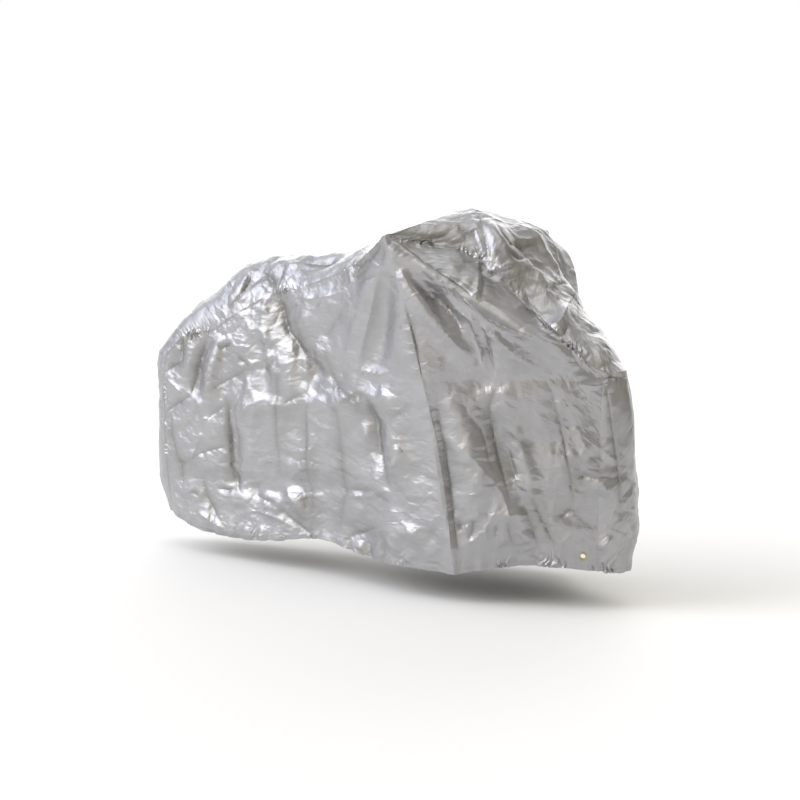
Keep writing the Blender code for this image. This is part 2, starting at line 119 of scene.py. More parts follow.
def linear(hexColour):
    # an sRGB hex value as linear light
    values = [int(hexColour[i:i + 2], 16) / 255 for i in (1, 3, 5)]
    return [v / 12.92 if v <= 0.04045 else ((v + 0.055) / 1.055) ** 2.4 for v in values] + [1.0]


def addNode(tree, kind, inputs=None, **settings):
    # one shader node; an input is a value, or the socket that it is linked to
    node = tree.nodes.new(kind)
    for name, value in settings.items():
        setattr(node, name, value)
    for name, value in (inputs or {}).items():
        if isinstance(value, bpy.types.NodeSocket):
            tree.links.new(value, node.inputs[name])
        else:
            node.inputs[name].default_value = value
    return node


def addStage():
    world = bpy.data.worlds.new("studio")
    world.use_nodes = True
    tree = world.node_tree
    seen = tree.nodes["Background"]
    seen.inputs["Color"].default_value = linear(stageFacts["farColour"])
    way = addNode(tree, "ShaderNodeTexCoord").outputs["Generated"]
    sides = [
        addNode(tree, "ShaderNodeVectorMath", {
            0: way, 1: Vector(towards).normalized(),
        }, operation="DOT_PRODUCT").outputs["Value"]
        for towards, _, _, _ in stageFacts["windows"]
    ]
    low, high = stageFacts["skyTurn"]
    share = addNode(tree, "ShaderNodeMapRange", {
        "Value": sides[0], "From Min": low, "From Max": high,
    })
    sky = addNode(tree, "ShaderNodeMix", {
        "Factor": share.outputs["Result"],
        6: linear(stageFacts["skyShade"]),
        7: linear(stageFacts["skyLight"]),
    }, data_type="RGBA")
    light = addNode(tree, "ShaderNodeBackground", {
        "Color": sky.outputs[2], "Strength": stageFacts["skyStrength"],
    })
    for side, (_, colour, strength, tightness) in zip(sides, stageFacts["windows"]):
        facing = addNode(tree, "ShaderNodeMath", {0: side, 1: 0.0}, operation="MAXIMUM")
        glow = addNode(tree, "ShaderNodeMath", {
            0: facing.outputs[0], 1: tightness,
        }, operation="POWER")
        power = addNode(tree, "ShaderNodeMath", {
            0: glow.outputs[0], 1: strength,
        }, operation="MULTIPLY")
        window = addNode(tree, "ShaderNodeBackground", {
            "Color": linear(colour), "Strength": power.outputs[0],
        })
        light = addNode(tree, "ShaderNodeAddShader", {0: light.outputs[0], 1: window.outputs[0]})
    path = addNode(tree, "ShaderNodeLightPath")
    both = addNode(tree, "ShaderNodeMixShader", {
        0: path.outputs["Is Camera Ray"], 1: light.outputs[0], 2: seen.outputs[0],
    })
    tree.links.new(both.outputs[0], tree.nodes["World Output"].inputs["Surface"])
    bpy.context.scene.world = world
    bpy.context.scene.view_settings.view_transform = "Standard"
    grid = bmesh.new()
    bmesh.ops.create_grid(grid, x_segments=1, y_segments=1, size=stageFacts["floorHalf"])
    bmesh.ops.translate(grid, verts=grid.verts, vec=(0, 0, -stageFacts["floorDrop"]))
    floor = addPiece("floor", grid, floorMaterial())


def addPiece(name, form, material, smoothAngle=None):
    mesh = bpy.data.meshes.new(name)
    form.to_mesh(mesh)
    form.free()
    if smoothAngle:
        mesh.shade_smooth()
        mesh.set_sharp_from_angle(angle=math.radians(smoothAngle))
    mesh.materials.append(material)
    piece = bpy.data.objects.new(name, mesh)
    bpy.context.scene.collection.objects.link(piece)
    return piece


def newMaterial(name):
    material = bpy.data.materials.new(name)
    material.use_nodes = True
    return material, material.node_tree, material.node_tree.nodes["Principled BSDF"]


def floorMaterial():
    # matt painted board, which gives a pale, even ground
    material, tree, shader = newMaterial("matt_painted_board")
    spots = addNode(tree, "ShaderNodeTexNoise", {"Scale": 3.0, "Detail": 2.0})
    shade = addNode(tree, "ShaderNodeMix", {
        "Factor": spots.outputs["Fac"],
        6: linear(stageFacts["floorColour"]),
        7: linear(stageFacts["floorSpots"]),
    }, data_type="RGBA")
    tree.links.new(shade.outputs[2], shader.inputs["Base Color"])
    shader.inputs["Roughness"].default_value = 0.9
    return material


clothFinish = {
    "light": "#B4B4B7",  # the coat where it is fresh
    "dark": "#9E9EA0",  # where it is thinner
    "paintedShadeColour": "#66655C",  # painted shade, deep in the troughs of the creases
    "metallic": 0.8,  # aluminium flakes in a clear polyurethane coat
    "roughness": (0.29, 0.45),  # in the lighter patches and in the darker ones
    "sheen": 0.08,
    "patch": 90.0,  # mm, of those patches
    "speckle": 4.0,  # mm, of the spots in the painted crease shade
    "thread": 1.1,  # mm; threads are really 0.3 mm apart, too fine to show
    "threadDepth": 0.05,  # mm
    "crinkle": 7.0,  # mm, length of the finest crinkles
    "crinkleDepth": 1.8,  # mm
    "bend": (45.0, 16.0),  # mm: how far apart the crinkles' lines bend, and by how much
    "stretch": 0.55,  # crinkles are longer along the cloth by its inverse
    "facets": [(27.0, 0.062, 0.4), (12.0, 0.036, 2.1)],  # mm across, their slope, and a turn
    # strength of the relief, on the panels and on the doubled cloth
    "facetRelief": (1.0, 0.4), "crinkleRelief": 0.3, "weaveRelief": (0.3, 0.5),
}
facetFinish = {
    "shift": (7.3, 3.1),  # metres, from one set of places to the other
    "patch": 0.22,  # the facets' size, over that of the patches where they are deeper
    "patchNoise": (0.32, 0.70), "patchSlope": (0.1, 1.9),  # share of the slope at both ends
}


def facetHeight(tree, place, size, slope, turn):
    # the height of small flat facets with crisp ridges and troughs between them: the difference
    # of the squared distances to two sets of scattered places is a plane within each pair of
    # their cells
    facts = facetFinish
    right, up = facts["shift"]
    turned = addNode(tree, "ShaderNodeMapping", {
        "Vector": place, "Location": (right * turn, up, 0.0), "Rotation": (0.0, 0.0, turn),
    })
    squares = []
    for vector in (place, turned.outputs["Vector"]):
        cells = addNode(tree, "ShaderNodeTexVoronoi", {
            "Vector": vector, "Scale": 1 / size,
        }, voronoi_dimensions="2D")
        away = cells.outputs["Distance"]
        squares.append(addNode(tree, "ShaderNodeMath", {0: away, 1: away}, operation="MULTIPLY"))
    gap = addNode(tree, "ShaderNodeMath", {
        0: squares[0].outputs[0], 1: squares[1].outputs[0],
    }, operation="SUBTRACT")
    uneven = addNode(tree, "ShaderNodeTexNoise", {
        "Vector": turned.outputs["Vector"], "Scale": facts["patch"] / size, "Detail": 1.0,
    })
    (low, high), (least, most) = facts["patchNoise"], facts["patchSlope"]
    amount = addNode(tree, "ShaderNodeMapRange", {
        "Value": uneven.outputs["Fac"], "From Min": low, "From Max": high,
        "To Min": least * slope * size, "To Max": most * slope * size,
    })
    return addNode(tree, "ShaderNodeMath", {
        0: gap.outputs[0], 1: amount.outputs["Result"],
    }, operation="MULTIPLY").outputs[0]


def clothMaterial(name, doubled=False):
    # silver polyurethane-coated polyester taffeta: a soft metallic sheen over a plain weave,
    # with fine crinkles that never press out
    facts = clothFinish
    material, tree, shader = newMaterial(name)
    place = addNode(tree, "ShaderNodeUVMap", uv_map="cloth").outputs["UV"]
    patches = addNode(tree, "ShaderNodeTexNoise", {
        "Vector": place, "Scale": 1 / (facts["patch"] * mm), "Detail": 4.0, "Roughness": 0.6,
    })
    coat = addNode(tree, "ShaderNodeMix", {
        "Factor": patches.outputs["Fac"],
        6: linear(facts["light"]),
        7: linear(facts["dark"]),
    }, data_type="RGBA")
    # painted shade: the coat is darkened, in speckles, where the troughs of the creases lie
    rubbed = addNode(tree, "ShaderNodeAttribute", attribute_name="rubbed")
    speckle = addNode(tree, "ShaderNodeTexNoise", {
        "Vector": place, "Scale": 1 / (facts["speckle"] * mm), "Detail": 2.0,
    })
    paintedShadeMask = addNode(tree, "ShaderNodeMath", {
        0: rubbed.outputs["Fac"], 1: speckle.outputs["Fac"],
    }, operation="MULTIPLY", use_clamp=True)
    colour = addNode(tree, "ShaderNodeMix", {
        "Factor": paintedShadeMask.outputs[0], 6: coat.outputs[2], 7: linear(facts["paintedShadeColour"]),
    }, data_type="RGBA")
    tree.links.new(colour.outputs[2], shader.inputs["Base Color"])
    shader.inputs["Metallic"].default_value = facts["metallic"]
    gloss = addNode(tree, "ShaderNodeMapRange", {
        "Value": patches.outputs["Fac"],
        "To Min": facts["roughness"][0],
        "To Max": facts["roughness"][1],
    })
    tree.links.new(gloss.outputs["Result"], shader.inputs["Roughness"])
    shader.inputs["Sheen Weight"].default_value = facts["sheen"]

    # bent a little, and stretched along the cloth, where most crinkles lie
    apart, amount = (length * mm for length in facts["bend"])
    bend = addNode(tree, "ShaderNodeTexNoise", {
        "Vector": place, "Scale": 1 / apart, "Detail": 1.0,
    })
    bent = addNode(tree, "ShaderNodeVectorMath", {
        0: bend.outputs["Color"], 1: (amount, amount, 0), 2: place,
    }, operation="MULTIPLY_ADD")
    stretched = addNode(tree, "ShaderNodeMapping", {
        "Vector": bent.outputs[0], "Scale": (facts["stretch"], 1.0, 1.0),
    })
    normal = None
    for size, slope, turn in facts["facets"]:
        height = facetHeight(tree, stretched.outputs["Vector"], size * mm, slope, turn)
        bump = addNode(tree, "ShaderNodeBump", {
            "Height": height, "Strength": 1.0, "Distance": facts["facetRelief"][doubled],
        })
        if normal:
            tree.links.new(normal, bump.inputs["Normal"])
        normal = bump.outputs["Normal"]
    crinkle = addNode(tree, "ShaderNodeTexNoise", {
        "Vector": stretched.outputs["Vector"],
        "Scale": 1 / (facts["crinkle"] * mm), "Detail": 3.0, "Roughness": 0.55, "Distortion": 0.6,
    })
    mid = addNode(tree, "ShaderNodeBump", {
        "Height": crinkle.outputs["Fac"], "Strength": facts["crinkleRelief"],
        "Distance": facts["crinkleDepth"] * mm, "Normal": normal,
    })
    pitch = 1 / (facts["thread"] * mm) / (2 * math.pi)
    warp = addNode(tree, "ShaderNodeTexWave", {"Vector": place, "Scale": pitch},
                   bands_direction="X")
    weft = addNode(tree, "ShaderNodeTexWave", {"Vector": place, "Scale": pitch},
                   bands_direction="Y")
    weave = addNode(tree, "ShaderNodeMath", {
        0: warp.outputs["Fac"], 1: weft.outputs["Fac"],
    }, operation="MULTIPLY")
    fine = addNode(tree, "ShaderNodeBump", {
        "Height": weave.outputs[0], "Strength": facts["weaveRelief"][doubled],
        "Distance": facts["threadDepth"] * mm, "Normal": mid.outputs["Normal"],
    })
    tree.links.new(fine.outputs["Normal"], shader.inputs["Normal"])
    return material


brassFinish = {
    "light": "#C9BC92", "dull": "#978863", "spots": 3.0,  # mm
    "roughness": (0.18, 0.38),  # in the light places and in the dull ones
}
threadFinish = {"light": "#A9AAAC", "dull": "#86878A", "spots": 0.8, "roughness": 0.75}


def spotted(tree, shader, facts):
    # two colours in soft spots on the shader's base; gives the spots' socket
    place = addNode(tree, "ShaderNodeTexCoord").outputs["Object"]
    spots = addNode(tree, "ShaderNodeTexNoise", {
        "Vector": place, "Scale": 1 / (facts["spots"] * mm),
    }).outputs["Fac"]
    colour = addNode(tree, "ShaderNodeMix", {
        "Factor": spots, 6: linear(facts["light"]), 7: linear(facts["dull"]),
    }, data_type="RGBA")
    tree.links.new(colour.outputs[2], shader.inputs["Base Color"])
    return spots


def brassMaterial():
    # pressed brass with a clear lacquer: warm, shiny, dulled in spots
    material, tree, shader = newMaterial("pressed_brass")
    spots = spotted(tree, shader, brassFinish)
    smooth, rough = brassFinish["roughness"]
    gloss = addNode(tree, "ShaderNodeMapRange", {
        "Value": spots, "To Min": smooth, "To Max": rough,
    })
    tree.links.new(gloss.outputs["Result"], shader.inputs["Roughness"])
    shader.inputs["Metallic"].default_value = 1.0
    return material


def threadMaterial():
    # spun polyester sewing thread: matt, a little darker than the coat
    material, tree, shader = newMaterial("polyester_thread")
    spotted(tree, shader, threadFinish)
    shader.inputs["Roughness"].default_value = threadFinish["roughness"]
    return material


# The cloth's shape before it is creased. The tables count lengths from the place under the
# cover's rear third, and heights from the ground, in metres; the frame's origin lies here in them.
frameOrigin = np.array([0.825, 0.0, 1.072])

# One row for each section of a side, from the rear to the front, with the same names on both;
# half is how far a level stands from the middle, and bow is how far forwards the section bends.
Section = namedtuple(
    "Section",
    "name seamX seamZ seamHalf ridgeZ ridgeHalf midHalf lowHalf hemX hemZ hemHalf bow",
)
rightSections = [
    Section("rear", -0.228, 0.600, 0.085, 0.500, 0.092, 0.094, 0.088, -0.224, 0.110, 0.062, 0),
    Section("rise", -0.145, 0.666, 0.092, 0.560, 0.100, 0.104, 0.100, -0.145, 0.088, 0.085, 0),
    Section("rump", -0.020, 0.694, 0.105, 0.590, 0.112, 0.116, 0.112, -0.020, 0.070, 0.100, 0),
    Section("lowRear", 0.078, 0.748, 0.112, 0.640, 0.120, 0.124, 0.122, 0.090, 0.068, 0.110, 0),
    Section("lowPeak", 0.215, 0.812, 0.122, 0.700, 0.134, 0.142, 0.138, 0.245, 0.082, 0.122, 0),
    Section("lowFront", 0.370, 0.848, 0.146, 0.740, 0.160, 0.168, 0.162, 0.440, 0.108, 0.145, 0),
    Section("climb", 0.570, 0.915, 0.205, 0.820, 0.220, 0.222, 0.210, 0.660, 0.080, 0.200, 0.01),
    Section("corner", 0.751, 1.008, 0.300, 0.960, 0.299, 0.281, 0.266, 0.951, 0.080, 0.252, 0.03),
    Section("brow", 0.900, 0.966, 0.140, 0.906, 0.262, 0.246, 0.232, 1.050, 0.102, 0.205, 0.02),
    Section("fall", 1.050, 0.858, 0.118, 0.806, 0.228, 0.206, 0.186, 1.140, 0.112, 0.158, 0.01),
    Section("slope", 1.208, 0.730, 0.124, 0.698, 0.168, 0.162, 0.152, 1.222, 0.112, 0.138, 0),
    Section("front", 1.330, 0.636, 0.106, 0.560, 0.116, 0.117, 0.116, 1.320, 0.106, 0.100, 0),
]
leftSections = [
    Section("rear", -0.228, 0.605, 0.085, 0.500, 0.092, 0.094, 0.088, -0.226, 0.108, 0.060, 0),
    Section("rise", -0.145, 0.672, 0.094, 0.560, 0.102, 0.104, 0.100, -0.150, 0.090, 0.082, 0),
    Section("rump", -0.020, 0.704, 0.106, 0.590, 0.114, 0.118, 0.114, -0.030, 0.070, 0.098, 0),
    Section("lowRear", 0.078, 0.756, 0.112, 0.640, 0.122, 0.128, 0.126, 0.085, 0.076, 0.112, 0),
    Section("lowPeak", 0.220, 0.815, 0.124, 0.700, 0.138, 0.148, 0.142, 0.240, 0.084, 0.126, 0),
    Section("lowFront", 0.390, 0.850, 0.150, 0.740, 0.166, 0.174, 0.168, 0.430, 0.098, 0.150, 0),
    Section("climb", 0.630, 0.925, 0.208, 0.830, 0.226, 0.228, 0.216, 0.690, 0.082, 0.202, 0),
    Section("corner", 0.862, 1.020, 0.300, 0.975, 0.302, 0.284, 0.268, 0.980, 0.086, 0.250, 0.01),
    Section("brow", 0.962, 0.990, 0.230, 0.935, 0.296, 0.260, 0.236, 1.060, 0.100, 0.198, 0.01),
    Section("fall", 1.055, 0.850, 0.146, 0.806, 0.215, 0.188, 0.168, 1.130, 0.112, 0.138, 0.01),
    Section("slope", 1.186, 0.746, 0.082, 0.714, 0.114, 0.118, 0.114, 1.205, 0.112, 0.096, 0),
    Section("front", 1.298, 0.645, 0.042, 0.560, 0.050, 0.052, 0.052, 1.306, 0.106, 0.034, 0),
]
cornerRow = [section.name for section in rightSections].index("corner")  # the edge is sharp here
lowRise = 0.120  # from the hem to the level called low

# The middle of the top panel at each section: x, y, z, and arch, which is 1 where it is round
topMiddle = [
    (-0.284, 0, 0.630, 0.6),
    (-0.195, 0, 0.722, 0.9),
    (-0.045, 0, 0.822, 1.0),
    (0.056, 0, 0.895, 0.9),
    (0.215, 0, 0.932, 0.9),
    (0.370, 0, 0.940, 0.8),
    (0.600, 0, 1.018, 0.4),
    (0.825, 0, 1.079, 0.1),
    (0.940, 0, 1.038, 0.5),
    (1.060, -0.012, 0.925, 0.7),
    (1.200, -0.030, 0.782, 0.9),
    (1.328, -0.050, 0.676, 0.9),
]
# Its middle where it hangs down at an end, for each level from the hem: x, y, rise over the seams
rearEnd = [
    (-0.287, 0, -0.010), (-0.311, 0, 0.000), (-0.313, 0, 0.000), (-0.309, 0, 0.006),
    (-0.299, 0, 0.018),
]
frontEnd = [
    (1.362, -0.050, -0.004), (1.400, -0.050, 0.000), (1.396, -0.050, 0.000),
    (1.376, -0.050, 0.010), (1.358, -0.050, 0.020),
]

meshFacts = {
    "sectionSteps": 5,  # cells of the solids from one section to the next
    "levelSteps": [3, 5, 5, 4],  # and from the hem to low, mid, ridge and seam
    "columnCuts": 8,  # cells of the sheet for each of those, along the side
    "rowCuts": 10,  # and up it
    "halfTopCells": 44,  # from the middle of the top panel to each seam
    "innerStep": 2,  # the inner face of the sheet has every second point
    "weld": 0.05 * mm,  # points nearer than this to each other become one
}


def smoothRows(values, places, corner=None):
    # the smooth curve through the values that never overshoots them, read at places
    values = np.asarray(values, float)
    steps = np.diff(values, axis=0)
    before = np.concatenate([steps[:1], steps])
    after = np.concatenate([steps, steps[-1:]])
    same = before * after > 0
    mean = np.where(same, 2 * before * after / np.where(same, before + after, 1), 0)
    arriving, leaving = mean.copy(), mean.copy()
    if corner is not None:
        arriving[corner], leaving[corner] = before[corner], after[corner]
    places = np.asarray(places, float)
    row = np.clip(places.astype(int), 0, len(values) - 2)
    t = (places - row).reshape((-1,) + (1,) * (values.ndim - 1))
    return (
        values[row] * (2 * t**3 - 3 * t**2 + 1) + leaving[row] * (t**3 - 2 * t**2 + t)
        + values[row + 1] * (3 * t**2 - 2 * t**3) + arriving[row + 1] * (t**3 - t**2)
    )


def levelsOf(section, side):
    midZ = (section.hemZ + section.seamZ) / 2
    levels = [
        (section.hemZ, section.hemHalf), (section.hemZ + lowRise, section.lowHalf),
        (midZ, section.midHalf), (section.ridgeZ, section.ridgeHalf),
        (section.seamZ, section.seamHalf),
    ]
    points = []
    for z, half in levels:
        share = (z - section.hemZ) / (section.seamZ - section.hemZ)
        x = section.hemX + (section.seamX - section.hemX) * share
        points.append((x + section.bow * 4 * share * (1 - share), side * half, z))
    return points


def columnPlaces():
    steps = (len(rightSections) - 1) * meshFacts["sectionSteps"] * meshFacts["columnCuts"]
    return np.linspace(0, len(rightSections) - 1, steps + 1)


def rowPlaces():
    places = [
        level + step / (steps * meshFacts["rowCuts"])
        for level, steps in enumerate(meshFacts["levelSteps"])
        for step in range(steps * meshFacts["rowCuts"])
    ]
    return np.array(places + [len(meshFacts["levelSteps"])])


def sideGrid(sections, side):
    # columns from the rear to the front, each from the hem up to the seam
    net = [levelsOf(section, side) for section in sections]
    along = smoothRows(net, columnPlaces(), cornerRow)
    return smoothRows(along.swapaxes(0, 1), rowPlaces()).swapaxes(0, 1)


def acrossTop(middle, right, left, arch):
    # rows across the top panel, from its right seam over its middle to its left one
    half = meshFacts["halfTopCells"]
    steps = np.arange(-half, half + 1)
    share = (abs(steps) / half)[None, :]
    arch = np.asarray(arch).reshape(-1, 1)
    out = np.sin(share * math.pi / 2) * arch + share * (1 - arch)
    down = (1 - np.cos(share * math.pi / 2)) * arch + share * (1 - arch)
    seam = np.where((steps < 0)[None, :, None], right[:, None], left[:, None])
    gap = seam - middle[:, None]
    reach = np.stack([gap[..., 0] * down, gap[..., 1] * out, gap[..., 2] * down], axis=2)
    return middle[:, None] + reach


def topGrid(right, left):
    # rows across, from the rear hem over the peaks to the front hem
    def endRows(end, column):
        x, y, rise = smoothRows(end, rowPlaces()).T
        return np.stack([x, y, column[:, 2] + rise], axis=1)

    rear = acrossTop(endRows(rearEnd, right[0]), right[0], left[0], [topMiddle[0][3]])
    middle = smoothRows(topMiddle, columnPlaces())
    roof = acrossTop(middle[:, :3], right[:, -1], left[:, -1], middle[:, 3])
    front = acrossTop(endRows(frontEnd, right[-1]), right[-1], left[-1], [topMiddle[-1][3]])
    return np.concatenate([rear[:-1], roof, front[:-1][::-1]])


def lengthsAlong(grid, axis):
    # how far along the cloth each point lies from the grid's first edge
    steps = np.linalg.norm(np.diff(grid, axis=axis), axis=2)
    start = np.zeros_like(np.take(steps, [0], axis=axis))
    return np.concatenate([start, np.cumsum(steps, axis=axis)], axis=axis)


def clothPlaces(grid, isTop):
    # for each point: along and up the cloth, from the nearest seam, along that seam, from the hem
    along, up = lengthsAlong(grid, 0), lengthsAlong(grid, 1)
    if isTop:
        fromRight, fromLeft = up, up[:, -1:] - up
        fromSeam = np.minimum(fromRight, fromLeft)
        run = np.where(fromRight < fromLeft, along[:, :1], along[:, -1:])
        fromHem = np.minimum(along, along[-1:] - along)
        return np.stack([up, along, fromSeam, run, fromHem], axis=2)
    ways = np.stack([up[:, -1:] - up, along, along[-1:] - along])
    runs = np.stack([
        up[0, -1] + np.broadcast_to(along[:, -1:], along.shape),
        up,
        up[0, -1] + along[-1, -1] + up[:, -1:] - up,
    ])
    nearest = ways.argmin(axis=0)[None]
    fromSeam = np.take_along_axis(ways, nearest, 0)[0]
    run = np.take_along_axis(runs, nearest, 0)[0]
    return np.stack([along, up, fromSeam, run, up], axis=2)


panels = ["side_panel_right", "side_panel_left", "top_panel"]
panelWays = [Vector((0, -1, 0)), Vector((0, 1, 0)), Vector((0, 0, 1))]  # outwards, roughly


def gridFaces(form, points, outwards):
    # a grid through an array of points; each of its vertices knows its place in the array
    across, up = points.shape[0] - 1, points.shape[1] - 1
    new = bmesh.ops.create_grid(form, x_segments=across, y_segments=up, size=0.5)["verts"]
    keys = {}
    for vert in new:
        keys[vert] = round((vert.co.x + 0.5) * across), round((vert.co.y + 0.5) * up)
        vert.co = points[keys[vert]]
    faces = {face for vert in new for face in vert.link_faces}
    for face in faces:
        face.normal_update()
    if sum(face.normal.dot(outwards) for face in faces) < 0:
        bmesh.ops.reverse_faces(form, faces=list(faces))
    return keys, faces


def makeCloth():
    # the whole surface as one mesh, and what is known of its points
    right, left = sideGrid(rightSections, -1), sideGrid(leftSections, 1)
    grids = [right - frameOrigin, left - frameOrigin, topGrid(right, left) - frameOrigin]
    cloth = bmesh.new()
    found = [gridFaces(cloth, grid, way)[0] for grid, way in zip(grids, panelWays)]
    doubles = bmesh.ops.find_doubles(cloth, verts=cloth.verts, dist=meshFacts["weld"])["targetmap"]
    kept = [{doubles.get(vert, vert): key for vert, key in keys.items()} for keys in found]
    bmesh.ops.weld_verts(cloth, targetmap=doubles)
    cloth.verts.index_update()
    cloth.verts.ensure_lookup_table()
    numbers, layers = [], np.zeros((len(cloth.verts), 3))
    for panel, (grid, keys) in enumerate(zip(grids, kept)):
        number = np.zeros(grid.shape[:2], int)
        for vert, key in keys.items():
            number[key] = vert.index
        numbers.append(number)
    places = [clothPlaces(grid, panel == 2) for panel, grid in enumerate(grids)]
    for number, place in zip(numbers, places):
        layers[number] = place[..., 2:]
    leftSide = np.zeros(len(cloth.verts), bool)
    leftSide[numbers[1]] = True
    leftSide[numbers[2]] = False
    regions = [stripRegion(grid, node) for grid, node in zip(grids, eyelets)]
    return cloth, {
        "numbers": numbers, "uv": [place[..., :2] for place in places], "leftSide": leftSide,
        "fromSeam": layers[:, 0], "run": layers[:, 1], "fromHem": layers[:, 2],
        "strips": regions + [None],
    }


eyelets = ["eyelet_right", "eyelet_left"]


def stripRegion(grid, node):
    # the cells of a side that its eyelet strip takes up: two of the solid's cells each way
    columns, rows = meshFacts["columnCuts"], meshFacts["rowCuts"]
    centre = np.array(eyeletPlace(node)[0])
    away = np.linalg.norm(grid[::columns, ::rows] - centre, axis=2)
    column, row = np.unravel_index(away.argmin(), away.shape)
    return (column - 1) * columns, (column + 1) * columns, (row - 1) * rows, (row + 1) * rows


# the main folds, in the tables' metres, as they look from the side that view names
Fold = namedtuple("Fold", "view path width depth")
foldRows = {  # width, depth and path
    "right": [
        # right side, fanned out from the corner towards the front
        (0.026, 0.016, (0.770, 0.989), (0.914, 0.906), (1.130, 0.763), (1.313, 0.659)),
        (0.022, -0.010, (0.787, 0.986), (0.880, 0.940), (0.999, 0.854)),
        (0.026, 0.011, (0.791, 0.910), (0.882, 0.796), (0.943, 0.735), (0.993, 0.671)),
        (0.024, -0.010, (0.830, 0.895), (0.910, 0.829), (0.970, 0.771)),
        (0.024, 0.009, (0.910, 0.865), (1.008, 0.792), (1.100, 0.708), (1.176, 0.655)),
        # right side, below the corner and towards the rear
        (0.040, -0.012, (0.731, 0.913), (0.662, 0.627)),
        (0.036, 0.010, (0.696, 0.933), (0.547, 0.603)),
        (0.045, -0.013, (0.240, 0.821), (0.308, 0.714), (0.429, 0.534)),
        (0.036, 0.008, (0.163, 0.823), (0.217, 0.678), (0.312, 0.508)),
        (0.028, -0.012, (-0.031, 0.674), (-0.066, 0.584), (-0.099, 0.489)),
        (0.028, 0.012, (0.024, 0.681), (-0.006, 0.573), (-0.022, 0.480)),
        # right side, the deeper of the creases in which it was packed
        (0.028, -0.009, (0.069, 0.487), (0.076, 0.366), (0.073, 0.228)),
        (0.030, -0.009, (0.631, 0.553), (0.668, 0.429), (0.720, 0.291)),
        (0.028, -0.009, (1.042, 0.583), (1.065, 0.461), (1.086, 0.324)),
        (0.028, 0.011, (1.214, 0.575), (1.238, 0.439), (1.259, 0.269)),
        (0.024, 0.006, (0.252, 0.640), (0.257, 0.474), (0.249, 0.280)),
        (0.026, 0.007, (0.358, 0.804), (0.383, 0.515), (0.410, 0.180)),
        (0.022, -0.007, (0.999, 0.791), (1.020, 0.705), (1.039, 0.597)),
        (0.030, 0.005, (0.892, 0.481), (0.996, 0.417), (1.074, 0.324), (1.129, 0.171)),
        (0.028, 0.006, (-0.195, 0.466), (0.102, 0.466), (0.437, 0.514), (0.773, 0.559)),
        (0.028, -0.007, (0.885, 0.618), (1.020, 0.610), (1.175, 0.634), (1.314, 0.651)),
        (0.028, 0.006, (0.000, 0.185), (0.138, 0.189), (0.469, 0.244), (0.876, 0.311)),
    ],
    "left": [
        # left side
        (0.028, 0.014, (0.900, 0.995), (1.000, 0.900), (1.080, 0.810), (1.310, 0.665)),
        (0.028, 0.010, (0.905, 0.930), (0.980, 0.800), (1.060, 0.690)),
        (0.042, -0.010, (0.840, 0.930), (0.780, 0.650), (0.790, 0.450)),
        (0.036, 0.009, (0.790, 0.940), (0.660, 0.620)),
        (0.045, -0.014, (0.260, 0.800), (0.330, 0.660), (0.440, 0.500)),
        (0.030, -0.012, (-0.030, 0.670), (-0.090, 0.470)),
        (0.028, -0.009, (0.150, 0.560), (0.145, 0.240)),
        (0.030, -0.010, (0.560, 0.600), (0.590, 0.300)),
        (0.028, 0.009, (1.120, 0.600), (1.150, 0.330)),
        (0.028, 0.006, (-0.150, 0.460), (0.200, 0.480), (0.700, 0.540), (1.200, 0.520)),
        (0.028, 0.006, (0.100, 0.190), (0.500, 0.230), (0.950, 0.290)),
    ],
    "top": [
        # top panel, over the low peak and in front of the high one
        (0.024, 0.009, (0.096, -0.059), (0.085, -0.099), (0.044, -0.107)),
        (0.026, -0.009, (0.300, -0.100), (0.380, -0.112), (0.471, -0.120)),
        (0.040, 0.016, (0.899, -0.027), (0.973, -0.071), (1.050, -0.090)),
        (0.026, -0.012, (0.900, -0.095), (0.960, -0.135), (1.010, -0.155)),
        (0.034, -0.014, (0.930, 0.020), (1.007, 0.000), (1.070, 0.010)),
        (0.036, 0.015, (0.940, 0.110), (1.034, 0.120), (1.130, 0.095)),
        (0.028, 0.011, (1.130, -0.020), (1.180, -0.070), (1.195, -0.140)),
    ],
    "front": [
        # the ends
        (0.030, -0.008, (-0.030, 0.620), (0.000, 0.420), (-0.020, 0.260)),
    ],
    "rear": [(0.030, -0.008, (0.020, 0.590), (-0.010, 0.380), (0.010, 0.220))],
}
mainFolds = [
    Fold(view, path, width, depth) for view, rows in foldRows.items() for width, depth, *path in rows
]
views = {  # the side that each looks from, and the two axes that it shows
    "right": ((0, -1, 0), [0, 2]), "left": ((0, 1, 0), [0, 2]), "top": ((0, 0, 1), [0, 1]),
    "front": ((1, 0, 0), [1, 2]), "rear": ((-1, 0, 0), [1, 2]),
}
facingGain = 2  # times the cosine to its view: a fold fades where the cloth turns away
hemWaves = {"depth": 4 * mm, "pitch": 0.095, "ratio": 1.7, "height": 0.070, "lowest": 0.070}


def alongPath(places, path):
    # how far each place is from a path, and how far along it, from 0 to 1
    path = np.array(path, float)
    away, along, before = np.full(len(places), np.inf), np.zeros(len(places)), 0.0
    for start, end in zip(path, path[1:]):
        length = np.linalg.norm(end - start)
        share = np.clip((places - start) @ (end - start) / length**2, 0, 1)
        distance = np.linalg.norm(places - (start + share[:, None] * (end - start)), axis=1)
        nearer = distance < away
        away = np.where(nearer, distance, away)
        along = np.where(nearer, before + share * length, along)
        before += length
    return away, along / before


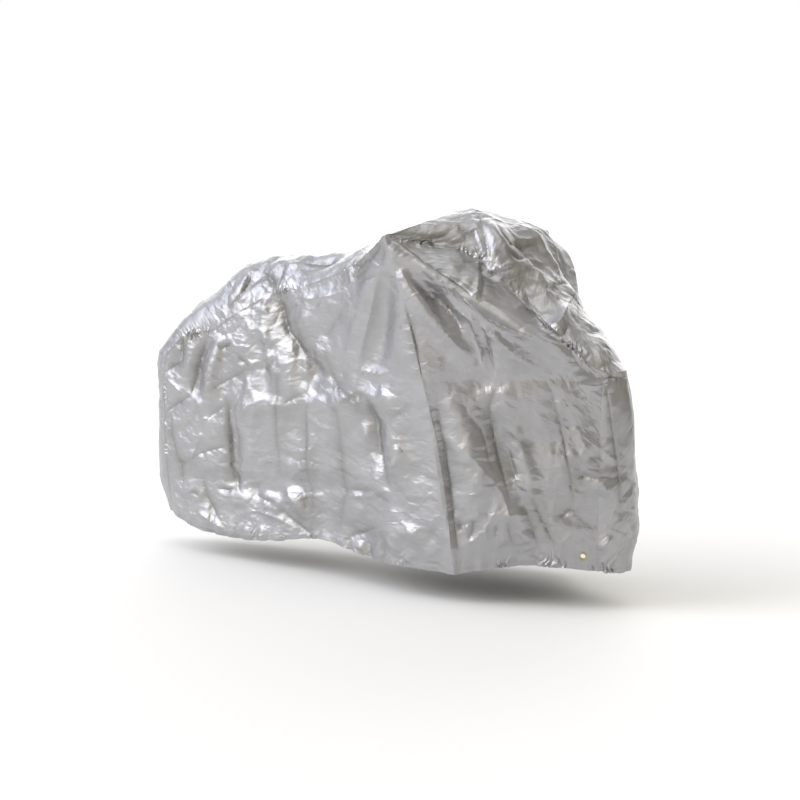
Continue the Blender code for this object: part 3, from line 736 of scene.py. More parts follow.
def mainDepth(points, normals):
    # the folds that the solids have too, points counted as in the tables
    depth = np.zeros(len(points))
    for fold in mainFolds:
        towards, axes = views[fold.view]
        away, along = alongPath(points[:, axes], fold.path)
        fade = np.sqrt(np.maximum(0, np.sin(math.pi * along)))
        facing = np.clip(facingGain * normals @ np.array(towards), 0, 1)
        depth += fold.depth * np.exp(-((away / fold.width) ** 2)) * fade * facing
    turn = 2 * math.pi * (points[:, 0] + points[:, 1]) / hemWaves["pitch"]
    height = np.maximum(0, points[:, 2] - hemWaves["lowest"]) / hemWaves["height"]
    wave = (np.sin(turn) + np.sin(hemWaves["ratio"] * turn)) / 2
    return depth + hemWaves["depth"] * wave * np.exp(-height**2)


# the creases: paths in the photograph's pixels, depth and width in mm, ridges are positive
Crease = namedtuple("Crease", "depth width path")


def creaseRows(rows):
    return [Crease(depth, width, path) for depth, width, *path in rows]


hangingCreases = creaseRows([  # right side, top and front only
    # over the low peak
    (-4, 7, (252, 267), (245, 285), (236, 300), (227, 311)),
    (-4, 7, (257, 268), (266, 276), (277, 290)),
    (-2, 5, (285, 260), (281, 273), (277, 288)),
    (3, 5, (300, 255), (322, 256), (343, 254)),
    (-4, 8, (303, 262), (322, 263), (343, 261)),
    (-2.5, 5, (345, 272), (357, 267), (370, 258), (383, 241)),
    (-1.5, 4, (347, 281), (356, 276), (368, 268)),
    (-1.5, 3, (355, 284), (366, 279), (380, 275), (392, 276)),
    (-2, 5, (384, 245), (382, 258), (379, 272)),
    # the tent over the low peak's front
    (5, 6, (381, 262), (373, 305), (365, 338), (357, 369)),
    (3, 6, (352, 366), (364, 372), (376, 374), (388, 371)),
    # below the low peak
    (-5, 9, (277, 291), (281, 303), (284, 318), (288, 331), (296, 340), (303, 352), (312, 373)),
    (-1.5, 5, (322, 343), (327, 358), (330, 376), (337, 388), (346, 393)),
    (-1.2, 5, (322, 341), (330, 330), (338, 316), (345, 304)),
    (3, 8, (297, 297), (312, 299), (330, 296), (345, 291)),
    # from the corner forwards
    (-5, 6, (396, 240), (420, 255), (440, 271), (463, 289), (480, 303)),
    (
        8, 9, (387, 238), (410, 254), (440, 279), (470, 302), (490, 317), (520, 332),
        (545, 342), (570, 354), (600, 371), (626, 379),
    ),
    (4, 10, (395, 262), (410, 284), (425, 304), (440, 324), (455, 344), (470, 358)),
    (-4, 9, (410, 277), (430, 295), (445, 306), (456, 318), (463, 335)),
    (3, 8, (440, 300), (460, 312), (475, 321), (490, 333), (510, 350), (530, 365)),
    (-3, 3.5, (405, 303), (411, 325), (416, 345), (420, 365), (424, 382)),
    (7, 5, (472, 316), (477, 335), (482, 352), (487, 372)),
    (-5, 6, (479, 318), (484, 335), (489, 352), (493, 370)),
    (1.5, 3, (462, 372), (474, 368), (484, 361)),
    # from the corner down to the hem
    (3, 6, (424, 385), (431, 440), (437, 480), (442, 510), (450, 545), (455, 566)),
    (-4, 8, (436, 400), (440, 440), (446, 480), (452, 520), (458, 550)),
    # over the high peak
    (4, 6, (465, 229), (470, 243), (477, 256), (477, 282), (477, 304)),
    (-3, 6, (482, 258), (483, 280), (483, 302)),
    (3, 8, (468, 212), (475, 226), (482, 243)),
    (-4, 6, (458, 222), (466, 233), (470, 245)),
    (-4, 7, (479, 214), (483, 230), (487, 248), (489, 262)),
    (-5, 6, (496, 222), (504, 235), (511, 244), (523, 248), (537, 243)),
    (3, 6, (500, 221), (509, 232), (516, 240), (530, 240), (541, 236)),
    (-4, 5, (486, 275), (500, 272), (514, 267)),
    (3, 5, (487, 270), (500, 268), (513, 263)),
    (-4, 7, (508, 252), (520, 258), (530, 256)),
    (2, 5, (520, 262), (530, 258), (545, 262)),
    (-2, 5, (525, 268), (538, 266), (552, 270)),
    (3, 6, (545, 272), (550, 268), (553, 276)),
    (3, 6, (556, 262), (560, 270), (555, 280)),
    (3, 7, (530, 276), (545, 282)),
    (-4, 8, (550, 286), (562, 282), (574, 284)),
    (1.5, 3, (515, 309), (523, 304), (529, 305)),
    (-3, 7, (388, 236), (400, 232), (415, 233), (430, 236)),
    (-3, 8, (420, 240), (445, 235), (452, 228)),
    (2, 7, (420, 224), (440, 226)),
    # the front slope
    (6, 8, (577, 288), (568, 304), (562, 318), (553, 326)),
    (4, 6, (552, 322), (558, 327), (564, 333)),
    (-3, 5, (558, 338), (566, 333), (570, 322)),
    (2, 4, (539, 314), (543, 325), (548, 335)),
    (2.5, 6, (545, 341), (560, 348), (575, 356), (590, 363)),
    (-5, 7, (598, 378), (612, 377), (628, 377)),
    (1.5, 5, (576, 384), (595, 386), (607, 383)),
    (3, 7, (592, 342), (598, 355), (604, 368)),
    (-2, 5, (606, 350), (611, 362), (614, 373)),
    (-2, 4, (586, 333), (600, 333)),
    (-3, 6, (578, 300), (579, 325)),
])
packedCreases = creaseRows([  # pressed through both sides while the cover was folded
    # upright, from the rear to the front
    (-4, 5, (181, 336), (181, 350), (181, 362)),
    (-3, 6, (166, 372), (172, 365), (180, 362)),
    (3, 6, (166, 380), (175, 386), (181, 394)),
    (-1.8, 4, (170, 415), (171, 438), (176, 455), (180, 466), (181, 490)),
    (-4, 6, (207, 338), (203, 350), (198, 365), (195, 380), (192, 394)),
    (2, 6, (212, 345), (208, 360), (206, 378)),
    (-4, 5, (227, 402), (229, 420), (231, 445), (232, 465), (234, 486)),
    (2, 5, (236, 404), (238, 418), (240, 432)),
    (-1.8, 3, (276, 356), (277, 380), (276, 400), (276, 430), (278, 460), (280, 476)),
    (-1.8, 3.5, (306, 393), (304, 415), (305, 440), (307, 465), (310, 495), (314, 520)),
    (-1.8, 3.5, (336, 402), (338, 430), (341, 465), (343, 495), (340, 530)),
    (-4.5, 5, (368, 396), (373, 415), (377, 440), (378, 455)),
    (-2, 4, (378, 445), (384, 468), (390, 490)),
    (2, 4, (364, 432), (370, 442), (375, 450)),
    (1.5, 3.5, (380, 430), (385, 452), (389, 475), (393, 492)),
    (-3.2, 5, (503, 386), (491, 398), (489, 410), (493, 430), (498, 455), (504, 478), (511, 507)),
    (-1.5, 3, (505, 448), (511, 467), (517, 482), (521, 488)),
    (-2, 4, (465, 410), (473, 421), (481, 430), (486, 444), (489, 460), (494, 476)),
    (-3, 4.5, (551, 386), (554, 402), (558, 420), (563, 440), (568, 462), (571, 482), (574, 508)),
    (-2.5, 4, (606, 386), (609, 402), (612, 425), (615, 446), (618, 466), (620, 490), (621, 520)),
    # level and slanting, in the upper half
    (-2.2, 3.5, (237, 353), (244, 361), (250, 368)),
    (1.8, 3.5, (250, 368), (260, 362), (272, 356), (285, 347), (299, 346)),
    (-1.2, 3, (258, 375), (268, 366), (277, 357)),
    (-1.5, 3, (208, 393), (222, 383), (238, 375), (251, 369)),
    (-4, 5, (217, 346), (224, 348), (231, 343)),
    (-2, 3.5, (166, 412), (176, 404), (186, 398), (192, 395)),
    (2.5, 5, (195, 399), (200, 405), (206, 416)),
    (-1.5, 3, (207, 419), (214, 414), (222, 408)),
    (1.2, 3, (205, 423), (200, 438), (195, 452), (191, 461)),
    (-1.5, 3, (187, 463), (197, 455), (210, 450), (226, 447)),
    (-1.2, 3, (176, 462), (188, 463)),
    (1.5, 3.5, (243, 411), (252, 405), (262, 401), (270, 397)),
    (-1.2, 3, (278, 403), (288, 401), (299, 396), (308, 393)),
    (1.5, 3.5, (308, 393), (317, 399), (327, 403)),
    (1.2, 3, (308, 415), (320, 410), (334, 404)),
    (-1.5, 3.5, (340, 402), (350, 400), (358, 396), (366, 393)),
    (-1.2, 3, (334, 385), (345, 393), (355, 401), (361, 412)),
    (-1, 4, (386, 413), (395, 417), (410, 409)),
    # level and slanting, in the lower half
    (1.2, 3, (395, 500), (415, 497), (437, 498)),
    (1.8, 4, (446, 498), (470, 495), (496, 489)),
    (-1.8, 5, (343, 488), (360, 492), (376, 490)),
    (2, 5, (346, 497), (362, 497), (376, 495)),
    (-1.5, 3, (374, 496), (383, 500), (391, 504)),
    (-1, 3, (446, 465), (462, 466), (480, 469)),
    (-1.2, 3, (500, 434), (512, 438), (526, 445), (538, 443)),
    (2, 4, (512, 487), (519, 489), (527, 493)),
    (-2, 4, (527, 493), (534, 503), (541, 519), (549, 533), (556, 546)),
    (-2, 4, (524, 504), (529, 520), (534, 534), (538, 548)),
    (-2.5, 4, (560, 518), (567, 513), (575, 512)),
    (-2, 7, (572, 476), (595, 477), (622, 478)),
    (1.5, 6, (572, 425), (590, 441), (605, 453), (616, 461)),
    (
        1.8, 4, (440, 430), (466, 453), (491, 477), (503, 494), (510, 514), (519, 531),
        (531, 545), (562, 561),
    ),
    (1.5, 4, (463, 545), (475, 540), (485, 530), (495, 512), (502, 500)),
    # where the cloth was drawn in above the hem
    (-2, 3, (457, 522), (459, 533)),
    (-3, 4, (473, 520), (472, 532), (469, 541)),
    (-2.5, 3.5, (497, 524), (495, 538)),
    (-2, 4, (508, 520), (510, 535), (513, 546)),
    (2, 3, (466, 525), (467, 536)),
    (2, 4, (486, 528), (488, 540)),
    (2, 4, (503, 530), (505, 542)),
    # crumples along the rear half of the hem
    (-2.5, 4, (254, 496), (262, 499), (271, 503), (277, 507)),
    (-2.5, 5, (277, 507), (290, 517), (302, 526), (319, 536)),
    (3, 6, (282, 484), (290, 496), (300, 506)),
    (-2.5, 4, (299, 484), (304, 497), (308, 511)),
    (2.5, 6, (243, 513), (258, 510), (278, 517), (300, 528)),
    (-2.5, 6, (200, 480), (206, 497), (213, 508), (222, 520), (231, 528)),
    (2.5, 7, (200, 512), (215, 520), (232, 530)),
    (-2, 3, (190, 491), (198, 496)),
    (-3, 5, (217, 489), (226, 491), (235, 487)),
    (-2, 3, (235, 470), (236, 486), (239, 492)),
    (1.2, 3, (238, 486), (250, 482), (262, 481)),
    (2, 4, (383, 528), (390, 540), (401, 550), (414, 563)),
    (-2, 4, (384, 530), (385, 548), (386, 562)),
    (-2, 5, (345, 541), (358, 534), (370, 530), (381, 527)),
    (2, 3, (600, 551), (606, 545), (613, 538)),
    (1.5, 3, (560, 546), (567, 538), (575, 531)),
])
softFolds = creaseRows([  # right side and front only, wide and round, as they bend the light
    # right of the edge that falls from the corner, and on to the front
    (-16, 36, (432, 385), (440, 430), (450, 490), (460, 552)),
    (4, 22, (462, 400), (472, 450), (482, 500)),
    (4, 24, (502, 392), (512, 420), (524, 452)),
    (-5, 20, (503, 440), (509, 470), (516, 500)),
    (8, 18, (520, 440), (528, 470), (536, 500)),
    (-5, 20, (524, 500), (532, 525), (542, 552)),
    (5, 18, (516, 500), (521, 525), (527, 552)),
    (9, 24, (572, 392), (580, 430), (588, 470)),
    (-8, 22, (548, 392), (556, 430), (563, 470), (568, 505)),
    (-3, 26, (576, 508), (592, 518), (608, 526)),
    (8, 22, (588, 468), (604, 488), (620, 500)),
    (8, 18, (624, 380), (628, 420), (632, 460)),
    # left of that edge
    (-11, 30, (390, 276), (387, 315), (381, 348), (374, 376)),
    (2, 22, (294, 300), (306, 326), (316, 352)),
    (3, 28, (232, 372), (262, 330), (274, 312)),
    (-6, 24, (172, 350), (174, 366), (173, 378)),
    (5, 20, (192, 340), (189, 360), (187, 378)),
    (5, 20, (216, 350), (211, 372), (206, 392)),
    (5, 26, (246, 400), (250, 440), (252, 490)),
    (-6, 24, (292, 408), (294, 440), (297, 470)),
    (7, 24, (322, 412), (326, 450), (330, 490)),
    (11, 26, (388, 392), (396, 440), (404, 492)),
    # from the corner forwards
    (-9, 26, (402, 240), (432, 262), (463, 286), (495, 307), (530, 324), (565, 342)),
    (-8, 30, (410, 270), (432, 298), (452, 326), (470, 356)),
    (6, 20, (404, 280), (424, 308), (444, 336), (462, 362)),
    # over and in front of the high peak
    (5, 22, (489, 222), (498, 240), (506, 262)),
    (6, 24, (520, 226), (540, 232), (556, 250)),
    (-19, 32, (518, 275), (530, 292), (544, 314)),
    (-10, 26, (552, 282), (556, 298), (552, 314)),
    (7, 26, (588, 318), (602, 338), (616, 360)),
    # the hem flares out at the rear
    (19, 44, (158, 502), (200, 522), (250, 534), (330, 544), (400, 566)),
    (-12, 36, (158, 468), (200, 478), (250, 484), (330, 490), (396, 500)),
    (7, 20, (284, 500), (300, 508), (318, 518)),
])
creaseFacts = {
    "narrowest": 6.4,  # mm, which the sheet's cells can still show
    "deeper": 1.7,
    "least": 1.7,  # mm, which is added to each depth
    "flankShare": 0.30,
    "flankReach": 4.5,  # times the width
    "round": 14,  # mm; wider ones have a round profile and just their own depth
    "reach": 24,  # pixels round a path within which its crease is worked out
    "rubbed": 6.0,  # mm, the trough depth at which the painted shade is full
    "facing": 3,  # times the cosine to the camera: a crease fades where the cloth turns away
    "ends": (0.02, 0.98),  # share of its path; past them it fades no further
    "crest": (0.01, 0.1),  # round off its line
}


def creaseDepth(points, normals, creases, chosen):
    # sharp creases with soft flanks, pressed in as the camera sees them
    places, pixelSize = inPhoto(points)
    toCamera = np.array(cameraFacts["place"]) - points
    toCamera /= np.linalg.norm(toCamera, axis=1)[:, None]
    facing = np.einsum("ij,ij->i", normals, toCamera)
    facing = np.clip(creaseFacts["facing"] * facing, 0, 1) * chosen
    depth = np.zeros(len(points))
    reach, (crestRound, crestRise) = creaseFacts["reach"], creaseFacts["crest"]
    for crease in creases:
        path = np.array(crease.path, float)
        near = np.flatnonzero(
            (facing > 0) & (places > path.min(0) - reach).all(1)
            & (places < path.max(0) + reach).all(1)
        )
        if not len(near):
            continue
        away, along = alongPath(places[near], path)
        away = away * pixelSize[near] / (max(crease.width, creaseFacts["narrowest"]) * mm)
        fade = np.sqrt(np.maximum(0, np.sin(math.pi * np.clip(along, *creaseFacts["ends"]))))
        if crease.width > creaseFacts["round"]:
            depth[near] += crease.depth * mm * np.exp(-away**2) * fade * facing[near]
            continue
        sharp = np.exp(-np.sqrt(away**2 + crestRound) + crestRise)
        flank = creaseFacts["flankShare"]
        profile = sharp * (1 - flank) + flank * np.exp(-away / creaseFacts["flankReach"])
        full = creaseFacts["deeper"] * crease.depth
        full += math.copysign(creaseFacts["least"], crease.depth)
        depth[near] += full * mm * profile * fade * facing[near]
    return depth


crumpleFacts = {
    "seed": 11,
    "area": 3.7,  # square metres of cloth
    "count": 1500,  # of single creases
    "level": (0.5, 0.22),  # share of them that lie nearly level, and how much of a turn is left
    "upright": (0.2, 0.12),
    "bend": 0.25,
    "length": (30, 130),  # mm
    "width": (4.0, 9.0),
    "depth": (0.3, 1.4),
    "reach": 3,  # widths past its ends within which a crease is worked out
    "sameWay": 0.3,  # how nearly the cloth there has to face as it does in the middle
    "wobble": 0.2,  # of the facets' edges, as a share of their size
    # flat facets with crisp edges: mm across, how steep they are, and how long lengthwise
    "facets": [(150, 0.045, 0.8), (85, 0.055, 1.1), (46, 0.05, 1.2)],
}
CalmZone = namedtuple("CalmZone", "place radius left")
calmZones = [  # pixels; left is the share of the crumples that stays, over 1 they are deeper
    CalmZone((412, 300), 26, 0.10),
    CalmZone((385, 315), 26, 0.20),
    CalmZone((376, 355), 22, 0.40),
    CalmZone((425, 350), 26, 0.25),
    CalmZone((450, 335), 30, 0.35),
    CalmZone((510, 350), 42, 0.40),
    CalmZone((425, 225), 24, 0.40),
    CalmZone((500, 245), 20, 0.40),
    CalmZone((412, 440), 30, 0.60),
    CalmZone((494, 388), 13, 0.20),
    CalmZone((485, 442), 30, 0.30),
    CalmZone((528, 440), 36, 1.5),
    CalmZone((590, 450), 38, 1.6),
    CalmZone((408, 530), 34, 1.8),
    CalmZone((196, 460), 34, 1.5),
]
puckerZones = [  # pixels: where the seams are puckered most
    ((418, 241), 26), ((365, 262), 26), ((576, 346), 30), ((205, 338), 26),
]
seamFacts = {
    "ridge": 0.8,  # mm, height of the seam's turned-in cloth
    "ridgeWidth": 5.0,
    "pucker": 2.8,  # depth of the puckers on both sides of it
    "puckerReach": 14.0,
    # the puckers' waves: mm from one to the next, three noises (size in metres, and which of
    # many), by how many radians the first two shift the waves, and what the third does to them
    "waves": {
        "pitch": 19.0, "noises": [(0.06, 5.0), (0.025, 7.0), (0.08, 9.0)], "shifts": (12, 6),
        "mean": -0.1, "swing": 2.6, "least": 0.04, "most": 1.3,
    },
}
hemFacts = {
    "gather": 2.5,  # mm, depth of the fine gathers
    "gatherReach": 26.0,
    "turned": 15.0,  # width of the turned-up hem
    "turnedDepth": 1.0,
    "turnedEdge": 1.5,  # width of its soft edge
    "slant": 0.8,  # the gathers are counted along X and this share of Y
    "waves": {
        "pitch": 23.0, "noises": [(0.06, 5.0), (0.022, 6.0), (0.07, 13.0)], "shifts": (16, 5),
        "mean": 0.45, "swing": 2.4, "least": 0.05, "most": 1.6,
    },
}


def facetDepth(points, cell, slope, flat, chance):
    # flat facets: the difference of the squared distances to two sets of scattered seeds
    places = points * np.array([1, 1, flat])
    places += crumpleFacts["wobble"] * cell * noiseVectors(points, cell)
    count = int(crumpleFacts["area"] * flat / cell**2)
    squares = []
    for _ in range(2):
        tree = kdtree.KDTree(count)
        for number, seed in enumerate(places[chance.integers(0, len(places), count)]):
            tree.insert(seed, number)
        tree.balance()
        squares.append(np.array([tree.find(place)[2] for place in places]) ** 2)
    return (squares[0] - squares[1]) * slope / cell


def crumpleDepth(points, normals):
    # a net of creases, and single straight ones in every direction but mostly level
    facts = crumpleFacts
    chance = np.random.default_rng(facts["seed"])
    noise.seed_set(facts["seed"])  # noise_vector takes its offsets from it
    depth = np.zeros(len(points))
    for cell, slope, flat in facts["facets"]:
        depth += facetDepth(points, cell * mm, slope, flat, chance)
    up = np.array([0, 0, 1.0])
    (level, levelTurn), (upright, uprightTurn) = facts["level"], facts["upright"]
    for centre in chance.integers(0, len(points), facts["count"]):
        kind, angle = chance.random(), chance.uniform(-math.pi / 2, math.pi / 2)
        if kind < level:
            angle *= levelTurn
        elif kind < level + upright:
            angle = math.pi / 2 + uprightTurn * angle
        length, width, height = (
            chance.uniform(*facts[name]) * mm for name in ("length", "width", "depth")
        )
        height *= chance.choice([-1, 1])
        bend = chance.uniform(-facts["bend"], facts["bend"])
        normal = normals[centre]
        sideways = np.cross(up, normal)
        sideways /= max(np.linalg.norm(sideways), 1e-6)
        along = sideways * math.cos(angle) + np.cross(normal, sideways) * math.sin(angle)
        across = np.cross(normal, along)
        step = points - points[centre]
        reach = length / 2 + facts["reach"] * width
        near = np.flatnonzero(np.einsum("ij,ij->i", step, step) < reach**2)
        near = near[normals[near] @ normal > facts["sameWay"]]
        run = step[near] @ along / (length / 2)
        away = (step[near] @ across + bend * length / 4 * run**2) / width
        fade = np.clip(1 - run**2, 0, None)
        depth[near] += height * np.exp(-abs(away)) * fade
    return depth


def noiseAt(points, size, shift):
    place = Vector((shift, 2 * shift, 3 * shift))
    return np.array([noise.noise(Vector(point) / size + place) for point in points])


def noiseVectors(points, size):
    return np.array([noise.noise_vector(Vector(point) / size)[:] for point in points])


def inZones(points, zones):
    # how near each point shows to each of some places in the photograph, from 0 to 1
    places, _ = inPhoto(points)
    return [
        np.exp(-((np.linalg.norm(places - np.array(place), axis=1) / radius) ** 2))
        for place, radius in zones
    ]


def unevenWaves(points, run, waves):
    # the turn of waves along a run in mm, and their strength, both uneven
    slow, quick, strength = (noiseAt(points, *one) for one in waves["noises"])
    slowShift, quickShift = waves["shifts"]
    turn = 2 * math.pi * run / waves["pitch"] + slowShift * slow + quickShift * quick
    strength = waves["mean"] + waves["swing"] * strength
    return turn, np.clip(strength, waves["least"], waves["most"])


def sewnDepth(points, layers, mirrored):
    # the seams' ridges and puckers, the hem's gathers and its turned-up band
    fromSeam, run, fromHem = (layers[name] / mm for name in ("fromSeam", "run", "fromHem"))
    facts = seamFacts
    seam = facts["ridge"] * np.exp(-((fromSeam / facts["ridgeWidth"]) ** 2))
    turn, strength = unevenWaves(points, run, facts["waves"])
    strength += sum(inZones(mirrored, puckerZones))
    fade = np.exp(-fromSeam / facts["puckerReach"])
    seam += facts["pucker"] * np.sin(turn) * strength * fade
    facts = hemFacts
    run = (points[:, 0] + facts["slant"] * points[:, 1]) / mm
    turn, strength = unevenWaves(points, run, facts["waves"])
    fade = np.exp(-fromHem / facts["gatherReach"])
    gather = facts["gather"] * np.sin(turn) * strength * fade
    band = facts["turnedDepth"] / (1 + np.exp((fromHem - facts["turned"]) / facts["turnedEdge"]))
    return (seam + gather + band) * mm


fineCrumples = [  # their size in metres, height in mm, and which of many they are
    (0.075, 0.8, 3.0), (0.032, 0.3, 4.0),
]
ridgedMean = 0.25  # of the ridged noise, which is taken off it
liveliness = {  # how crumpled each place is: metres from one to the next, and which of many
    "size": 0.22, "which": 2.0, "mean": 0.85, "swing": 1.2, "least": 0.3, "most": 1.5,
}
billow = {"size": 0.17, "depth": 6.0, "which": 1.0}  # metres, mm
stripFacts = {
    "calm": 26 * mm,  # no creases reach closer to the eyelet than about this
    "thickness": 2.4 * mm,
    "lift": 0.5 * mm,  # it stands proud of the panel
    "under": 1.0 * mm,  # from its surface to the eyelet's middle
    "hole": 8.6 * mm,  # radius
    "flat": 14 * mm,
    "reach": 23 * mm,  # past it the cells are as they were
    "cut": (0.045, 0.080),  # metres, flat
}


def flatAtEyelets(points, depth):
    for eyelet in eyelets:
        away = np.linalg.norm(points - np.array(eyeletPlace(eyelet)[0]), axis=1)
        depth = depth * (1 - np.exp(-((away / stripFacts["calm"]) ** 2)))
    return depth


def pressCloth(cloth, shape):
    # move the points of the cloth by each kind of fold in turn
    def points():
        return np.array([vert.co[:] for vert in cloth.verts])

    def normals():
        cloth.normal_update()
        return np.array([vert.normal[:] for vert in cloth.verts])

    def move(places, directions, depth):
        for vert, place in zip(cloth.verts, places + directions * depth[:, None]):
            vert.co = place

    leftSide = shape["leftSide"]
    base, out = points(), normals()
    move(base, out, mainDepth(base + frameOrigin, out))
    print("main folds done")
    base, out = points(), normals()
    mirror = np.array([1, -1, 1])
    depth = creaseDepth(base, out, hangingCreases, ~leftSide)
    depth += creaseDepth(base, out, packedCreases, ~leftSide)
    depth += creaseDepth(base * mirror, out * mirror, packedCreases, leftSide)
    # painted shade in the troughs of the creases, darker the deeper they are
    rubbed = np.clip(-depth / (creaseFacts["rubbed"] * mm), 0, 1)
    depth += creaseDepth(base, out, softFolds, ~leftSide)
    mirrored = np.where(leftSide[:, None], base * mirror, base)
    facts = liveliness
    lively = facts["mean"] + facts["swing"] * noiseAt(base, facts["size"], facts["which"])
    lively = np.clip(lively, facts["least"], facts["most"])
    zones = [(zone.place, zone.radius) for zone in calmZones]
    for zone, near in zip(calmZones, inZones(mirrored, zones)):
        lively *= 1 - (1 - zone.left) * near
    rough = crumpleDepth(base, out)
    for size, height, shift in fineCrumples:
        ridged = abs(noiseAt(base * np.array([0.8, 1, 1.3]), size, shift))
        rough += height * mm * (ridgedMean - ridged)
    depth += rough * lively
    wave = noiseAt(base * np.array([1.2, 1, 0.7]), billow["size"], billow["which"])
    depth += billow["depth"] * mm * wave
    move(base, out, flatAtEyelets(base, depth))
    print("creases and crumples done")
    base, out = points(), normals()
    mirrored = np.where(leftSide[:, None], base * mirror, base)
    move(base, out, flatAtEyelets(base, sewnDepth(base, shape, mirrored)))
    print("seams and hem done")
    shape.update(points=points(), normals=normals(), rubbed=rubbed)


clothFacts = {"thickness": 1.2 * mm, "sharp": 28}  # degrees, from which an edge is sharp


def sheetFaces(piece, shape, panel, step, drop, inStrip):
    # a panel's faces, or a strip's, over every step-th point of its grid, drop under the surface
    numbers, uvs = shape["numbers"][panel][::step, ::step], shape["uv"][panel][::step, ::step]
    places = shape["points"] - shape["normals"] * drop
    keys, faces = gridFaces(piece, places[numbers], panelWays[panel])
    uv, rubbed = piece.loops.layers.uv["cloth"], piece.verts.layers.float["rubbed"]
    # each point carries the painted shade of the creases
    for vert, key in keys.items():
        vert[rubbed] = shape["rubbed"][numbers[key]]
    left, right, low, high = shape["strips"][panel] or (0, 0, 0, 0)
    others = []
    for face in faces:
        corners = [keys[vert] for vert in face.verts]
        for loop in face.loops:
            loop[uv].uv = uvs[keys[loop.vert]]
        column, row = (min(corner[axis] for corner in corners) * step for axis in (0, 1))
        if (left <= column < right and low <= row < high) != inStrip:
            others.append(face)
    bmesh.ops.delete(piece, geom=others, context="FACES")


def newSheet():
    piece = bmesh.new()
    piece.loops.layers.uv.new("cloth")
    piece.verts.layers.float.new("rubbed")
    return piece


def panelSheet(shape, panel):
    # a panel as a thin closed sheet, whose inner face is coarser
    piece = newSheet()
    sheetFaces(piece, shape, panel, 1, 0.0, False)
    outer = set(piece.faces)
    sheetFaces(piece, shape, panel, meshFacts["innerStep"], clothFacts["thickness"], False)
    bmesh.ops.reverse_faces(piece, faces=[face for face in piece.faces if face not in outer])
    bmesh.ops.bridge_loops(piece, edges=[edge for edge in piece.edges if edge.is_boundary])
    return piece


def stripSheet(shape, panel, node):
    # the doubled cloth round an eyelet, flat at the eyelet, with a hole for its barrel
    piece = newSheet()
    sheetFaces(piece, shape, panel, 1, -stripFacts["lift"], True)
    centre, axis = eyeletPlace(node)
    surface = stripFacts["under"] + stripFacts["lift"]
    middle = min(piece.verts, key=lambda vert: (vert.co - centre).length)
    rim = {vert for face in middle.link_faces for vert in face.verts} - {middle}
    nearest = min((vert.co - centre).length for vert in rim)
    bmesh.ops.delete(piece, geom=[middle], context="VERTS")
    hole, reach = stripFacts["hole"], stripFacts["reach"]
    for vert in piece.verts:
        step = vert.co - centre
        height = step.dot(axis)
        step -= axis * height
        radius = step.length
        if vert in rim:
            step *= hole / radius
        elif radius < reach:
            step *= (hole + (radius - nearest) * (reach - hole) / (reach - nearest)) / radius
        free = min(max((radius - stripFacts["flat"]) / (reach - stripFacts["flat"]), 0.0), 1.0)
        vert.co = centre + step + axis * (surface + (height - surface) * free)
    inner = bmesh.ops.extrude_face_region(piece, geom=list(piece.faces), use_keep_orig=True)
    for vert in inner["geom"]:
        if isinstance(vert, bmesh.types.BMVert):
            vert.co -= axis * stripFacts["thickness"]
    bmesh.ops.recalc_face_normals(piece, faces=piece.faces)
    return piece


def eyeletPlace(node):
    # the middle and the axis of an eyelet, read from its solid
    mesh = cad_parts[node].data
    points = np.array([vert.co[:] for vert in mesh.vertices])
    middle = (points.min(0) + points.max(0)) / 2
    spread = np.linalg.eigh(np.cov((points - middle).T))
    axis = spread[1][:, 0]
    outwards = 1 if axis[1] * middle[1] > 0 else -1
    return Vector(middle), Vector(axis * outwards)


eyeletFacts = {  # mm, radii and heights
    "bore": 7.0, "barrel": 7.6, "flange": 12.4,
    "half": 2.3,  # from the middle to the flange's upper face
    "roll": 0.5,  # how far its rolled edge rises over that
    "under": (0.3, 0.5, 0.7),  # its rim is rounded by, and its under face lies lower by
    "rollSteps": 8,
    "sides": 64,
    "sharp": 40,  # degrees, from which an edge is sharp
}


def makeEyelet(node, material):
    # a pressed eyelet: a barrel through the cloth, with a rolled flange on each face
    facts = eyeletFacts
    middle, axis = eyeletPlace(node)
    bore, barrel, flange, roll, half = (
        facts[name] * mm for name in ("bore", "barrel", "flange", "roll", "half")
    )
    inset, rim, under = (length * mm for length in facts["under"])
    outline = []
    for step in range(facts["rollSteps"] + 1):  # from the bore over the flange to its rim
        share = step / facts["rollSteps"]
        outline.append((
            bore + (flange - bore) * share, half + roll * math.sin(math.pi * share)
        ))
    outline += [(flange - inset, half - rim), (barrel, half - under)]
    outline += [(radius, -height) for radius, height in reversed(outline)]
    ring = bmesh.new()
    verts = [ring.verts.new((radius, 0, height)) for radius, height in outline]
    edges = [ring.edges.new((verts[i - 1], verts[i])) for i in range(len(verts))]
    bmesh.ops.spin(
        ring, geom=verts + edges, axis=(0, 0, 1), cent=(0, 0, 0), angle=2 * math.pi,
        steps=facts["sides"], use_merge=True,
    )
    bmesh.ops.recalc_face_normals(ring, faces=ring.faces)
    turn = Vector((0, 0, 1)).rotation_difference(axis).to_matrix().to_4x4()
    bmesh.ops.transform(ring, matrix=Matrix.Translation(middle) @ turn, verts=ring.verts)
    return addPiece(node.replace("eyelet", "brass_eyelet"), ring, material, facts["sharp"])


stitchFacts = {
    "pitch": 5.5,  # mm
    "length": 3.9,
    "width": 0.9,
    "height": 0.7,
    "hemRow": 3,  # cells from the hem
    "seamRow": 1,  # cells from the seam
    "sharp": 60,
}


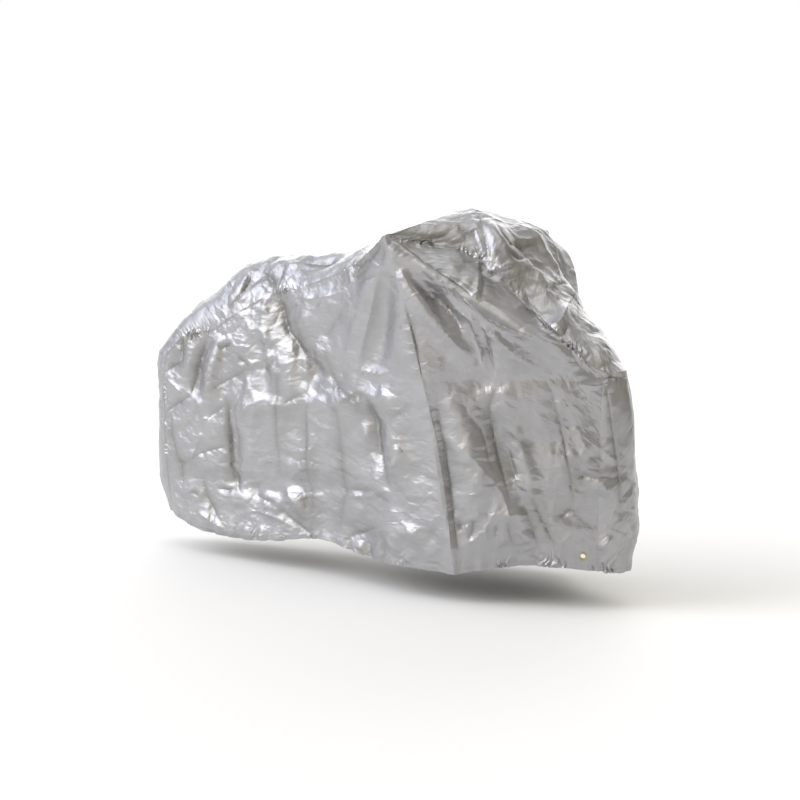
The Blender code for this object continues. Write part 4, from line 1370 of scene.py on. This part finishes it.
def stitchLines(shape):
    # the places and normals of the cloth under each row of stitches
    hem, seam = stitchFacts["hemRow"], stitchFacts["seamRow"]
    rows = []
    for panel in (0, 1):
        numbers = shape["numbers"][panel]
        left, right, low, high = shape["strips"][panel]
        rows += [numbers[:left, hem], numbers[right:, hem]]
        rows.append(np.concatenate([
            numbers[seam, :-seam], numbers[seam:-seam, -1 - seam], numbers[-1 - seam, :-seam][::-1],
        ]))
        rows.append(np.concatenate([
            numbers[left + 1, low + 1:high], numbers[left + 1:right, high - 1],
            numbers[right - 1, low + 1:high][::-1], numbers[left + 1:right, low + 1][::-1],
        ]))
    rows += [shape["numbers"][2][hem], shape["numbers"][2][-1 - hem]]
    return [(shape["points"][row], shape["normals"][row]) for row in rows]


def addStitches(shape, material):
    # small stitches end to end, joined in one mesh
    pitch, length, width, height = (
        stitchFacts[name] * mm for name in ("pitch", "length", "width", "height")
    )
    one = bmesh.new()
    bmesh.ops.create_uvsphere(one, u_segments=6, v_segments=4, radius=1.0)
    stitch = bpy.data.meshes.new("stitch")
    one.to_mesh(stitch)
    one.free()
    thread = bmesh.new()
    for places, normals in stitchLines(shape):
        run = np.concatenate([[0], np.cumsum(np.linalg.norm(np.diff(places, axis=0), axis=1))])
        for start in np.arange(pitch / 2, run[-1] - length, pitch):
            first, last, up = (
                Vector([np.interp(at, run, values[:, axis]) for axis in range(3)])
                for at, values in ((start, places), (start + length, places),
                                   (start + length / 2, normals))
            )
            along = (last - first).normalized()
            across = up.cross(along).normalized()
            turn = Matrix((along, across, along.cross(across))).transposed().to_4x4()
            size = Matrix.Diagonal((length / 2, width / 2, height / 2, 1))
            middle = (first + last) / 2 + up.normalized() * (height / 4 + stripFacts["lift"] / 2)
            placing = Matrix.Translation(middle) @ turn @ size
            stitch.transform(placing)
            thread.from_mesh(stitch)
            stitch.transform(placing.inverted())
    bpy.data.meshes.remove(stitch)
    return addPiece("stitching", thread, material, stitchFacts["sharp"])


def finish(piece, slot, *nodes):
    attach(piece, "root")
    if nodes:
        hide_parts(*nodes)


addCamera()
addStage()
cloth, shape = makeCloth()
print("cloth surface:", len(cloth.verts), "points")
pressCloth(cloth, shape)
cloth.free()

silver = clothMaterial("silver_coated_taffeta")
doubledSilver = clothMaterial("doubled_silver_taffeta", doubled=True)
brass = brassMaterial()
stitching = addStitches(shape, threadMaterial())
finish(stitching, "silver_cloth")
print("stitching done:", len(stitching.data.polygons), "faces")
for number, node in enumerate(panels):
    piece = addPiece(
        node.replace("panel", "cloth"), panelSheet(shape, number), silver, clothFacts["sharp"]
    )
    finish(piece, "silver_cloth", node)
    print(node, "done:", len(piece.data.polygons), "faces")
for number, node in enumerate(eyelets):
    strip = node.replace("eyelet", "eyelet_strip")
    piece = addPiece(
        strip.replace("strip", "patch"), stripSheet(shape, number, node), doubledSilver,
        clothFacts["sharp"],
    )
    finish(piece, "doubled_cloth", strip)
    finish(makeEyelet(node, brass), "eyelet_brass", node)
print("eyelets done")
